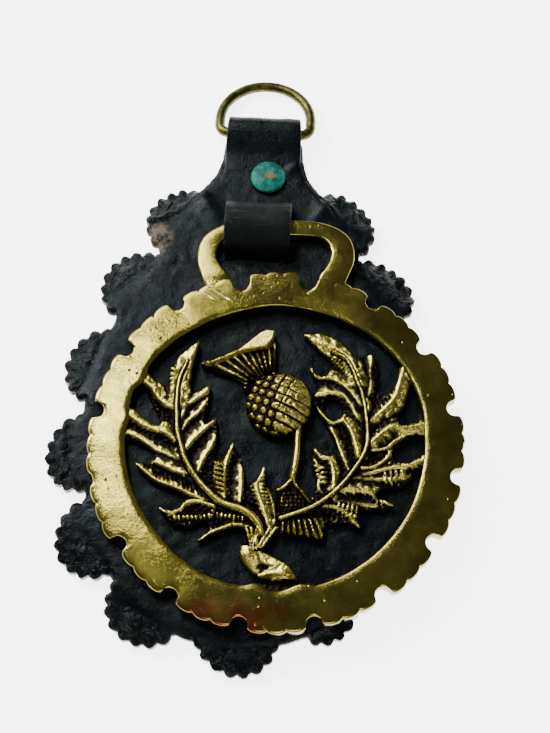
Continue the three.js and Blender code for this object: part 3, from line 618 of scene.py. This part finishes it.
def thistle_globe(x, y):
    """The globe: a dome of pointed scales, worn together at its upper right."""
    u, v = about(x, y, GLOBE, GLOBE_TURN)
    reach = np.minimum(1, np.hypot(u, v) / GLOBE_RADIUS)
    dome = 1.7 + 3.35 * np.sqrt(1 - 0.96 * reach ** 2)
    wander = 0.1 * uneven(x, y, 1.7, 28)
    cell_u = ((u + 5) / SCALE_WIDTH + wander) % 1 - 0.5
    cell_v = ((v - 0.45) / SCALE_HEIGHT + 0.5 + wander) % 1 - 0.5
    rubbed = ramp(u + 0.45 * v, -1.6, -0.2)
    bead = np.sqrt(np.maximum(0, 1 - (cell_u ** 2 + cell_v ** 2) / 0.43 ** 2))
    bars = 1 - ramp(np.maximum(np.abs(cell_u) - 0.1 * ramp(u, -0.5, 2) + 0.04 * wander,
                               np.abs(cell_v) - 0.06 * ramp(v, 0, 3)), 0.36, 0.47)
    dome += (1 - rubbed) * (1.15 * bead - 0.65) + rubbed * (0.7 * bars - 0.4)
    dome += 0.22 * uneven(x, y, 0.9, 8) * rubbed + 0.25 * uneven(x, y, 0.6, 29) * ramp(reach, 0.72, 0.9)
    return dome, reach


def relief_form(x, y):
    """The whole relief: its outline, face and flat back, and how far each spot is rubbed bright, with
    painted highlight and painted shade mixed into that mask.
    """
    right = np.maximum(outside(RIGHT_LEAF, x, y), -outside(RIGHT_OPENING, x, y))
    flower = outside(FLOWER, x, y)
    foot = outside(curve_through(FOOT, 4, closed=True), x, y)
    globe = np.hypot((x - GLOBE[0]), (y - GLOBE[1])) - GLOBE_RADIUS
    edge = np.minimum.reduce([outside(LEFT_LEAF, x, y), right, outside(BUD, x, y), foot, flower, globe])
    cords = []
    for points, root, tip, lift in CORDS:
        far, _, along, _ = beside(curve_through(points, 5), x, y)
        half = root + (tip - root) * along
        cords.append((far, half, lift))
        edge = np.minimum(edge, far - half)

    drift = 0.55 * uneven(x, y, 1.5, 21)
    height, steep = leaves(x, y, drift)
    height = with_seeds(x, y, height)
    height = with_flutes(x, y, height, right, drift)
    height = np.where((foot < 0) & (y < FOOT_TOP), np.maximum(knotty_foot(x, y), 1), height)
    crown, above = thistle_flower(x, y)
    height = np.where(flower < 0, crown, height)
    dome, reach = thistle_globe(x, y)
    height = np.where((globe < 0) & ((flower > 0.2) | (dome > height)), np.maximum(dome, 1), height)
    for far, half, lift in cords:
        cord = lift - half + np.sqrt(np.maximum(half ** 2 - far ** 2, 0)) * 1.3
        height = np.where(far < half, np.maximum(height, cord), height)
        beside_cord = (far > half) & (far < half + 0.4) & (globe > 0)
        height = np.where(beside_cord, height - 0.35 * (1 - (far - half) / 0.4), height)
    height += 0.05 * uneven(x, y, 0.5, 1)
    height -= 0.35 * (1 - ramp(-edge, 0, 0.45))
    height = np.maximum(height, LOWEST)

    # Rubbed bright where it stands proud of its surroundings, with patina in its hollows, and painted
    # highlight and painted shade added below.
    hollow = soft(height, 5) - height
    rubbed_and_painted_light = 0.32 - 1.9 * hollow + 0.26 * np.clip(height - 2.1, -1, 0.8)
    # Painted highlight: the gentle flanks of the leaves, the ones facing the light, are made brighter.
    rubbed_and_painted_light += 0.18 * (1 - steep) * ramp(height, 1.7, 2.2) * (globe > 0)
    # Painted shade: the flower's fluted throat below its crown line is made darker.
    rubbed_and_painted_light -= 0.14 * ((flower < 0) & ~above)
    # Painted shade: the globe darkens towards its edge as a lit dome would; its low spots between the
    # scales are darker too.
    rubbed_and_painted_light = np.where(globe < 0, rubbed_and_painted_light - 0.2 * ramp(height, 3.4, 2.4) - 0.3 * ramp(reach, 0.7, 0.97), rubbed_and_painted_light)
    # The lower part of the foot is made darker.
    rubbed_and_painted_light -= 0.12 * ((foot < 0) & (y < -21))
    return edge, height, np.zeros(x.shape), {"shine": np.clip(rubbed_and_painted_light, 0, 1)}


# --- leather -----------------------------------------------------------------------------

# Centre and radius of each lobe of the rosette.
LEATHER_LOBES = [
    (-16, 51.6, 9.2), (-24.9, 35.7, 8.9), (-31.2, 16.8, 8.6), (-33.4, -2.4, 8.3), (-29.2, -20, 8.5),
    (-17.8, -33, 8.4), (0.4, -37.4, 8.8), (16.6, -31.2, 7.8), (27.6, -19, 8.3), (33, -2.4, 8.3),
    (31.4, 16.8, 8.7), (25.3, 35.7, 9), (16.2, 51.6, 9.3)]
# The right edge of the plain leather under the lobes, from the neck down.
BACKING_SIDE = [
    (8.7, 73), (9, 69), (10.2, 64.3), (13.2, 60), (17, 54), (20.6, 44.2), (26.3, 35), (30, 25.9),
    (32.8, 17), (34.2, 8), (33.9, -2), (32, -11.5), (29, -21), (24.3, -29.4), (18, -35.2),
    (9.8, -39.3), (0, -41)]
ROSETTE_CENTRE = (0, 8)
# Where the neck has bent and stayed bent: centre, half width, half length, turn, lift.
NECK_SWELLS = [((-11.5, 55.5), 1.8, 4.5, 2.2, 0.8), ((7.4, 66.6), 1.5, 2.6, 0.7, 0.7),
               ((14.5, 56.5), 1.8, 4.0, 0.9, 0.8), ((6.6, 71.5), 1.0, 1.8, 1.5, -0.3),
               ((-6.5, 41.5), 1.5, 3.0, 0.4, -0.5)]
FULLER = 0.09              # how much fuller the right side is, about its middle
TOOTH_PITCH, TOOTH_DEPTH = 3.1, 0.95
MOST_DROOP = 2.95


def backing_outline():
    side = curve_through(BACKING_SIDE, 4)
    right = side * np.stack([1 + FULLER * np.exp(-((side[:, 1] + 2) / 18) ** 2), np.ones(len(side))], 1)
    left = side[-2::-1] * (-1, 1)
    return np.concatenate([right, left])


def pinked_lobe(x, y, n):
    """Signed distance to lobe n of the rosette, and how far it droops towards its pinked edge."""
    cx, cy, radius = LEATHER_LOBES[n]
    away = math.atan2(cy - ROSETTE_CENTRE[1], cx - ROSETTE_CENTRE[0])
    teeth = round(math.tau * radius / TOOTH_PITCH)
    off = np.arctan2(y - cy, x - cx) - away
    wobble = 0.3 * np.sin(2.0 * off + 1.7 * n) + 0.16 * np.sin(5 * off + n)
    tooth = np.abs(np.sin(teeth * off / 2 + wobble))
    bound = radius - TOOTH_DEPTH * (1 - tooth) + 0.2 * np.sin(3 * off + 2.1 * n)
    dist = np.hypot(x - cx, y - cy)
    reach = dist / radius
    outward = np.maximum(0, np.cos(off)) * reach
    fall = 2.7 * ramp(outward, -0.15, 1.1) + 0.35 * np.sin(1.3 * n + 2.2 * off) * reach ** 2
    fall += 0.3 * np.cos(teeth * off + 2 * wobble) * ramp(reach, 0.5, 1)
    return dist - bound, fall


def leather_form(x, y):
    """The rosette and its neck: flat in the middle, drooping to the table at its crimped lobes."""
    edge = outside(backing_outline(), x, y)
    droop = np.where(edge < 0, 0.0, 9.0)
    for n in range(len(LEATHER_LOBES)):
        beyond, fall = pinked_lobe(x, y, n)
        edge = np.minimum(edge, beyond * 0.93)
        droop = np.where((beyond < 1) & (fall < droop), fall, droop)
    droop = np.where(edge < 1.2, np.minimum(droop, MOST_DROOP), 0)
    droop = soft(droop, 2)
    rosette = ramp(-y, -58, -50)
    top = BACKING_TOP - 0.1 - droop + rosette * 0.22 * uneven(x, y, 7, 11) + 0.1 * uneven(x, y, 2.2, 12)
    top += (0.5 * uneven(x, y, 3.2, 13) + 0.16 * uneven(x, y, 1.3, 14)) * ramp(droop, 0.3, 1.4)
    top -= 0.3 * (1 - ramp(-edge, 0, 0.7))
    top = np.minimum(top, BACKING_TOP + 0.1)
    for centre, wide, long, turn, lift in NECK_SWELLS:
        u, v = about(x, y, centre, turn)
        top += lift * np.exp(-(u / long) ** 2 - (v / wide) ** 2)
    bottom = np.maximum(0.02, top - HIDE + 0.25)
    raw = np.clip(1 - 2.2 * np.abs(edge + 0.1), 0, 1)
    return edge, top, bottom, {"shine": raw, "crimped": ramp(droop, 0.1, 1.6)}


# The keeper from its upper slit, over the eye, to its lower slit, as (y, z).
KEEPER_PATH = [(61, 1), (58.4, 1.2), (57, 2.2), (55.9, 4), (54.9, 6.4), (53.8, 8.9), (51.9, 10.9),
               (49.3, 11.5), (46.7, 10.7), (44.6, 8.8), (43.7, 6.3), (43.4, 4), (42.4, 2),
               (40.2, 1.05), (35, 0.95)]
KEEPER_WIDTH, KEEPER_THICK = 14.2, 1.7
FOLD_WIDTH = 16.8


def strap_along(path, width, thick, corner, shape):
    """A strip of leather that follows (y, z) points; shape(t, s) gives its side shift and swelling."""
    steps = 120
    line = even(curve_through(path), steps + 1)
    ahead = np.gradient(line, axis=0)
    ahead /= np.linalg.norm(ahead, axis=1)[:, None]

    def place(t, s, z):
        k = round(t * steps)
        (y, up), (dy, dz) = line[k], ahead[k]
        shift, swell = shape(t, s)
        lift = z + swell
        return s + shift, y - dz * lift, max(0.01, up + dy * lift)

    return swept(rounded_bar(width, thick, corner), steps, place, closed=False)


def keeper():
    def shape(t, s):
        side = 2 * s / KEEPER_WIDTH
        return 0.12 * math.sin(9 * t), 0.14 * math.sin(5 * t + 2 * side) * (1 - 0.4 * side * side)

    return strap_along(KEEPER_PATH, KEEPER_WIDTH, KEEPER_THICK, 0.3, shape)


def neck_fold():
    turn = (WIRE + HIDE) / 2 + 0.3
    round_bar = [(RING_Y + turn * math.cos(math.radians(a)), RING_Z + turn * math.sin(math.radians(a)))
                 for a in (90, 45, 0, -45, -90)]
    path = [(65, 3.7), (69, 4.2), (72, 5.4), *round_bar, (73.8, 1.1), (72, 1.1), (68, 1.1), (58.4, 1.1)]

    def shape(t, s):
        side = 2 * s / FOLD_WIDTH
        bulge = math.exp(-((t - 0.42) / 0.12) ** 2)
        return -0.45 * side * bulge, 0.06 * math.sin(7 * side + 9 * t)

    return strap_along(path, FOLD_WIDTH, HIDE, 0.35, shape)


# --- ring and rivet ----------------------------------------------------------------------

RING_HALF, RING_RISE, RING_CORNER = 10.3, 4.1, 2.3


def turned(radius, degrees):
    angle = math.radians(degrees)
    return radius * math.cos(angle), radius * math.sin(angle)


def ring():
    """The D-ring: a straight bar with round corners, and a bow that rests on the table."""
    corner, half, rise = RING_CORNER, RING_HALF, RING_RISE
    straight = half - corner
    path = [(-straight, 0), (straight, 0)]
    path += [(straight + side, corner - up) for up, side in (turned(corner, a) for a in range(15, 91, 15))]
    path += [(side, rise + up) for side, up in (turned(half, a) for a in range(0, 181, 6))]
    path += [(-straight - side, corner - up) for up, side in (turned(corner, a) for a in range(90, 0, -15))]
    steps = 240
    line = even(np.array(path + path[:1]), steps + 1)[:-1]
    ahead = np.roll(line, -1, axis=0) - np.roll(line, 1, axis=0)
    ahead /= np.linalg.norm(ahead, axis=1)[:, None]
    drop = -math.asin((RING_Z - WIRE / 2) / (rise + half))
    lean = Matrix.Translation((0, RING_Y, RING_Z)) @ Matrix.Rotation(drop, 4, "X")
    section = [turned(WIRE / 2, 18 * k) for k in range(20)]

    def place(t, s, z):
        k = round(t * steps) % steps
        (x, y), (dx, dy) = line[k], ahead[k]
        return lean @ Vector((x + dy * s, y - dx * s, z))

    return swept(section, steps, place)


RIVET_AT = (1.4, 62.9)
DOME_RADIUS, DOME_FOOT, DOME_RISE = 3.85, 5.5, 1.28


def rivet():
    """The rivet in one profile: burr, shank and low dome."""
    profile = [(0, 0.15), (2.2, 0.15), (2.5, 0.3), (2.5, 0.85), (1.5, 0.85), (1.5, 5.15), (3.6, 5.15),
               (3.82, 5.3), (DOME_RADIUS, DOME_FOOT)]
    profile += [(DOME_RADIUS * math.cos(math.radians(a)), DOME_FOOT + DOME_RISE * math.sin(math.radians(a)))
                for a in range(8, 90, 8)]
    profile.append((0, DOME_FOOT + DOME_RISE))
    bm = bmesh.new()
    line = [bm.verts.new((r, 0, z)) for r, z in profile]
    edges = [bm.edges.new(pair) for pair in zip(line, line[1:])]
    bmesh.ops.spin(bm, geom=line + edges, cent=(0, 0, 0), axis=(0, 0, 1), angle=math.tau, steps=64,
                   use_merge=True, use_duplicate=False)
    bmesh.ops.remove_doubles(bm, verts=bm.verts, dist=1e-4)
    for v in bm.verts:
        if v.co.z > 5.2:
            v.co.z += 0.09 * noise.noise(v.co * 0.9) + 0.03 * noise.noise(v.co * 3)
    bmesh.ops.translate(bm, vec=(*RIVET_AT, 0), verts=bm.verts)
    return bm


# --- finishes ----------------------------------------------------------------------------

class Finish:
    """A node material, written from the surface back."""

    def __init__(self, name, **values):
        self.material = bpy.data.materials.new(name)
        self.material.use_nodes = True
        self.nodes = self.material.node_tree.nodes
        self.links = self.material.node_tree.links
        self.shader = self.nodes["Principled BSDF"]
        for key, value in values.items():
            self.shader.inputs[key.replace("_", " ")].default_value = value
        self.place = self.nodes.new("ShaderNodeTexCoord").outputs["Object"]

    def put(self, socket, value):
        if isinstance(value, bpy.types.NodeSocket):
            self.links.new(value, socket)
        elif value is not None:
            socket.default_value = value

    def noise(self, size, detail=4, rough=0.55, distort=0.0, stretch=(1, 1, 1)):
        """Clouds about size mm across."""
        where = self.nodes.new("ShaderNodeMapping")
        where.inputs["Scale"].default_value = stretch
        self.links.new(self.place, where.inputs["Vector"])
        tex = self.nodes.new("ShaderNodeTexNoise")
        self.links.new(where.outputs["Vector"], tex.inputs["Vector"])
        for key, value in (("Scale", 1000 / size), ("Detail", detail), ("Roughness", rough),
                           ("Distortion", distort)):
            tex.inputs[key].default_value = value
        return tex.outputs["Fac"]

    def spots(self, size):
        """Distance to the nearest of scattered points about size mm apart."""
        tex = self.nodes.new("ShaderNodeTexVoronoi")
        self.links.new(self.place, tex.inputs["Vector"])
        tex.inputs["Scale"].default_value = 1000 / size
        return tex.outputs["Distance"]

    def ramp(self, value, low, high, to_low=0.0, to_high=1.0):
        node = self.nodes.new("ShaderNodeMapRange")
        node.interpolation_type = "SMOOTHSTEP"
        self.put(node.inputs["Value"], value)
        for key, number in (("From Min", low), ("From Max", high), ("To Min", to_low), ("To Max", to_high)):
            node.inputs[key].default_value = number
        return node.outputs["Result"]

    def maths(self, kind, a, b=None):
        node = self.nodes.new("ShaderNodeMath")
        node.operation = kind
        self.put(node.inputs[0], a)
        self.put(node.inputs[1], b)
        return node.outputs[0]

    def times(self, a, b):
        return self.maths("MULTIPLY", a, b)

    def blend(self, amount, a, b):
        node = self.nodes.new("ShaderNodeMix")
        node.data_type = "RGBA"
        sockets = [s for s in node.inputs if s.type == "RGBA"]
        self.put(node.inputs[0], amount)
        self.put(sockets[0], a)
        self.put(sockets[1], b)
        return [s for s in node.outputs if s.type == "RGBA"][0]

    def stored(self, name):
        node = self.nodes.new("ShaderNodeAttribute")
        node.attribute_name = name
        return node.outputs["Fac"]

    def near(self, point, reach, stretch=(1, 1)):
        """1 at a point of the part, falling to 0 at a distance of reach mm."""
        split = self.nodes.new("ShaderNodeSeparateXYZ")
        self.links.new(self.place, split.inputs[0])
        total = None
        for axis, middle, wide in zip("XY", point, stretch):
            off = self.times(self.maths("SUBTRACT", split.outputs[axis], middle / 1000),
                             1000 / (reach * wide))
            square = self.times(off, off)
            total = square if total is None else self.maths("ADD", total, square)
        return self.ramp(total, 1.0, 0.25)

    def scratch(self, start, end, wide):
        """1 along a straight scratch between two points of the part, in mm."""
        split = self.nodes.new("ShaderNodeSeparateXYZ")
        self.links.new(self.place, split.inputs[0])
        run = (Vector(end) - Vector(start)) / 1000
        middle = (Vector(end) + Vector(start)) / 2000
        dx, dy = (self.maths("SUBTRACT", split.outputs[axis], at) for axis, at in zip("XY", middle))
        sides = []
        for a, b, reach in ((run.x, run.y, run.length / 2), (-run.y, run.x, wide / 1000)):
            total = self.maths("ADD", self.times(dx, a), self.times(dy, b))
            far = self.maths("ABSOLUTE", self.maths("DIVIDE", total, run.length * reach))
            sides.append(self.ramp(far, 1.0, 0.6))
        return self.times(*sides)

    def bump(self, height, depth, onto=None):
        node = self.nodes.new("ShaderNodeBump")
        node.inputs["Distance"].default_value = depth / 1000
        self.put(node.inputs["Height"], height)
        if onto is not None:
            self.links.new(onto, node.inputs["Normal"])
        return node.outputs["Normal"]

    def done(self, **sockets):
        for key, value in sockets.items():
            self.put(self.shader.inputs[key.replace("_", " ")], value)
        return self.material


OLIVE = (0.07, 0.058, 0.02, 1)
PATINA = (0.010, 0.008, 0.006, 1)
COPPER = (0.24, 0.075, 0.03, 1)


def polished_brass():
    """The rim and eye: dull yellow, sandy, with a coppery patch near the foot."""
    f = Finish("worn_brass", Metallic=1.0)
    clouds = f.ramp(f.noise(14, 5, 0.6), 0.38, 0.66)
    colour = f.blend(clouds, (0.27, 0.236, 0.042, 1), (0.145, 0.127, 0.026, 1))
    specks = f.ramp(f.noise(0.45, 3, 0.7), 0.5, 0.7)
    sandy = f.ramp(f.noise(12, 3), 0.42, 0.6, 0.2, 0.55)
    colour = f.blend(f.times(specks, sandy), colour, OLIVE)
    pits = f.ramp(f.spots(1.9), 0.2, 0.06)
    where = f.maths("MAXIMUM", f.ramp(f.noise(9, 2), 0.52, 0.64), f.near((-23, -3), 9, (0.8, 1.2)))
    pits = f.times(pits, where)
    colour = f.blend(pits, colour, PATINA)
    scored = f.maths("MAXIMUM", f.scratch((-11.5, 12.5), (-6.2, 9.2), 0.17),
                     f.scratch((-13.2, 11.6), (-10, 9.4), 0.13))
    colour = f.blend(scored, colour, (0.55, 0.50, 0.25, 1))
    stain = f.times(f.near((-1.5, -57.5), 13, (1, 0.42)), f.ramp(f.noise(5, 4), 0.35, 0.6))
    colour = f.blend(f.times(stain, 0.9), colour, COPPER)
    rough = f.ramp(f.noise(3.2, 5, 0.65), 0.3, 0.75, 0.14, 0.22)
    grain = f.bump(f.noise(0.4, 3, 0.7), 0.032)
    dents = f.bump(f.maths("ADD", pits, scored), -0.12, grain)
    waves = f.bump(f.noise(6, 3), 0.08, dents)
    return f.done(Base_Color=colour, Roughness=rough, Normal=waves)


def relief_brass():
    """The relief: rubbed bright on its crests, black and brown where the polish never reaches, with painted
    highlight and painted shade from the stored mask.
    """
    f = Finish("relief_brass", Metallic=1.0)
    # The stored mask is rubbed wear and patina together with painted highlight and painted shade.
    wear_and_painted_light = f.maths("ADD", f.stored("shine"), f.ramp(f.noise(0.9, 5, 0.7), 0.25, 0.75, -0.28, 0.2))
    wear_and_painted_light = f.maths("ADD", wear_and_painted_light, f.ramp(f.noise(4, 2), 0.3, 0.7, -0.14, 0.08))
    bright = f.ramp(wear_and_painted_light, 0.46, 0.8)
    colour = f.blend(f.ramp(wear_and_painted_light, 0.22, 0.5), PATINA, (0.07, 0.062, 0.015, 1))
    colour = f.blend(bright, colour, (0.50, 0.44, 0.085, 1))
    rough = f.ramp(wear_and_painted_light, 0.2, 0.75, 0.46, 0.23)
    grain = f.bump(f.noise(0.5, 4, 0.7), 0.11)
    return f.done(Base_Color=colour, Roughness=rough, Normal=grain)


def ring_brass():
    """Dull olive brown wire."""
    f = Finish("ring_wire", Metallic=1.0)
    clouds = f.ramp(f.noise(3, 5, 0.65), 0.35, 0.65)
    colour = f.blend(clouds, (0.03, 0.028, 0.008, 1), (0.085, 0.08, 0.02, 1))
    rough = f.ramp(f.noise(1.2, 4), 0.3, 0.7, 0.28, 0.5)
    return f.done(Base_Color=colour, Roughness=rough, Normal=f.bump(f.noise(0.7, 4), 0.05))


def verdigris():
    """The rivet's green crust, worn to brown at its middle."""
    f = Finish("rivet_verdigris", Metallic=0.0, Specular_IOR_Level=0.12)
    patches = f.ramp(f.noise(2.6, 5, 0.65, 0.4), 0.36, 0.64)
    colour = f.blend(patches, (0.004, 0.05, 0.04, 1), (0.007, 0.165, 0.125, 1))
    colour = f.blend(f.ramp(f.noise(0.8, 4, 0.7), 0.58, 0.74), colour, (0.04, 0.38, 0.28, 1))
    brown = f.times(f.near((0.6, 40.6), 1.5, (1, 0.7)), f.ramp(f.noise(0.9, 3), 0.35, 0.6))
    colour = f.blend(brown, colour, (0.14, 0.10, 0.035, 1))
    return f.done(Base_Color=colour, Roughness=f.ramp(f.noise(1, 4), 0.3, 0.7, 0.35, 0.6),
                  Normal=f.bump(f.noise(0.6, 4, 0.65), 0.12))


def glossy_leather():
    """Near-black dressed hide, finely wrinkled, with raw teeth."""
    f = Finish("black_leather", Specular_IOR_Level=0.08, Specular_Tint=(0.85, 0.98, 1, 1))
    clouds = f.ramp(f.noise(11, 4, 0.6), 0.35, 0.68)
    colour = f.blend(clouds, (0.0009, 0.0014, 0.0018, 1), (0.0028, 0.0045, 0.0054, 1))
    raw = f.times(f.stored("shine"), f.ramp(f.noise(6, 3), 0.42, 0.6))
    colour = f.blend(raw, colour, (0.03, 0.023, 0.013, 1))
    torn = f.times(f.near((-23, 25), 4.5, (0.8, 1.1)), f.ramp(f.noise(2, 5, 0.7), 0.4, 0.6))
    colour = f.blend(torn, colour, (0.10, 0.075, 0.05, 1))
    crimped = f.stored("crimped")
    folds = f.times(f.noise(2.4, 4, 0.5, 0.7), f.ramp(crimped, 0, 1, 0.06, 1))
    crinkle = f.bump(f.noise(0.55, 3, 0.65), 0.13)
    crinkle = f.bump(folds, 1.6, crinkle)
    crinkle = f.bump(f.noise(8, 3, 0.5, 0.8), 0.2, crinkle)
    patches = f.ramp(f.noise(4.2, 5, 0.65), 0.36, 0.62, 0.15, 0.38)
    rough = f.maths("SUBTRACT", patches, f.times(crimped, 0.04))
    rough = f.maths("ADD", rough, f.times(raw, 0.3))
    return f.done(Base_Color=colour, Roughness=rough, Normal=crinkle)


def matt_leather():
    """The flesh side of the hide, out on the keeper: dull, with fine scratches."""
    f = Finish("matt_leather", Specular_IOR_Level=0.1, Specular_Tint=(0.75, 1, 0.95, 1))
    clouds = f.ramp(f.noise(6, 5, 0.65), 0.35, 0.68)
    colour = f.blend(clouds, (0.001, 0.0015, 0.0014, 1), (0.003, 0.0042, 0.0038, 1))
    marks = f.ramp(f.noise(0.9, 4, 0.7, 0, (0.2, 1, 1)), 0.55, 0.75)
    colour = f.blend(f.times(marks, 0.5), colour, (0.05, 0.052, 0.045, 1))
    rough = f.ramp(f.noise(2.4, 4), 0.3, 0.7, 0.42, 0.66)
    return f.done(Base_Color=colour, Roughness=rough, Normal=f.bump(f.noise(0.8, 5, 0.7), 0.12))


def pale_floor():
    f = Finish("pale_floor", Roughness=0.9, Specular_IOR_Level=0.1, Emission_Strength=4.5,
               Emission_Color=(1, 1, 1, 1))
    return f.done(Base_Color=(0.95, 0.95, 0.95, 1))


# --- the piece ---------------------------------------------------------------------------

rim_finish, relief_finish = polished_brass(), relief_brass()
hide_finish, matt_finish = glossy_leather(), matt_leather()

finished("casting_rim", rim(), CASTING, "medallion", rim_finish)
finished("casting_eye", hanger(), CASTING, "medallion", rim_finish)
relief_piece = finished("casting_relief", sculpted_plate((-31.6, -31.2), (31.4, 25.4), 0.2, relief_form),
                        CASTING, "medallion", relief_finish, crease=60)
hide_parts("brass_casting")

rosette_piece = finished("leather_rosette",
                         sculpted_plate((-43.6, -47.6), (43.6, 75.2), 0.4, leather_form),
                         STRAP, "strap", hide_finish, crease=60)
finished("leather_fold", neck_fold(), STRAP, "strap", hide_finish)
finished("leather_keeper", keeper(), STRAP, "strap", matt_finish)
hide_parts("leather_backing")

ring_piece = finished("ring_wire", ring(), STRAP, "ring", ring_brass())
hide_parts("d_ring")
rivet_piece = finished("rivet_head", rivet(), STRAP, "strap", verdigris())
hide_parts("rivet")

# --- table, light and camera ------------------------------------------------------------

FLOOR_HALF = 8             # m
table = bmesh.new()
bmesh.ops.create_grid(table, x_segments=1, y_segments=1, size=FLOOR_HALF)
floor_mesh = bpy.data.meshes.new("floor")
table.to_mesh(floor_mesh)
table.free()
floor = bpy.data.objects.new("floor", floor_mesh)
floor_mesh.materials.append(pale_floor())
bpy.context.scene.collection.objects.link(floor)


def lamp(name, at, aim, size, power):
    """A rectangular lamp; places and sizes are in metres, the power in watts."""
    data = bpy.data.lights.new(name, "AREA")
    data.shape = "RECTANGLE"
    data.size, data.size_y = size
    data.energy = power
    light = bpy.data.objects.new(name, data)
    light.location = at
    light.rotation_euler = (Vector(aim) - Vector(at)).to_track_quat("-Z", "Y").to_euler()
    bpy.context.scene.collection.objects.link(light)


lamp("key", (-0.44, 0.27, 0.42), (0, -0.01, 0), (0.12, 0.12), 5.5)
lamp("fill", (-0.2, 0.36, 0.42), (0, -0.01, 0), (0.22, 0.22), 3.0)
lamp("sheen", (-0.080, 0.084, 0.29), (-0.03, 0, 0), (0.03, 0.04), 0.25)   # the glint on the left of the rim
lamp("front", (0.05, -0.38, 0.48), (0, -0.03, 0), (0.2, 0.2), 1.0)

world = bpy.data.worlds.new("studio")
world.use_nodes = True
sky = world.node_tree.nodes["Background"]
sky.inputs["Color"].default_value = (1, 1, 1, 1)
sky.inputs["Strength"].default_value = 0.16
bpy.context.scene.world = world

LENS = 65.0
CAMERA_FROM_RIM = Vector((-0.244, -83.98, 255.37))       # from the middle of the rim's top, mm
CAMERA_TURN, CAMERA_TILT, CAMERA_ROLL = (math.radians(a) for a in (2.9, 21.49, -0.15))
camera_data = bpy.data.cameras.new("camera")
camera_data.lens = LENS
camera_data.sensor_width = 36
camera_data.sensor_fit = "AUTO"
camera_data.clip_start = 0.01
camera = bpy.data.objects.new("camera", camera_data)
spot = CASTING @ (CAMERA_FROM_RIM + Vector((0, 0, RIM_TOP)))
camera.matrix_world = (Matrix.Translation(spot / 1000) @ Matrix.Rotation(CAMERA_TURN, 4, "Z")
                       @ Matrix.Rotation(CAMERA_TILT, 4, "X") @ Matrix.Rotation(CAMERA_ROLL, 4, "Z"))
bpy.context.scene.collection.objects.link(camera)
bpy.context.scene.camera = camera
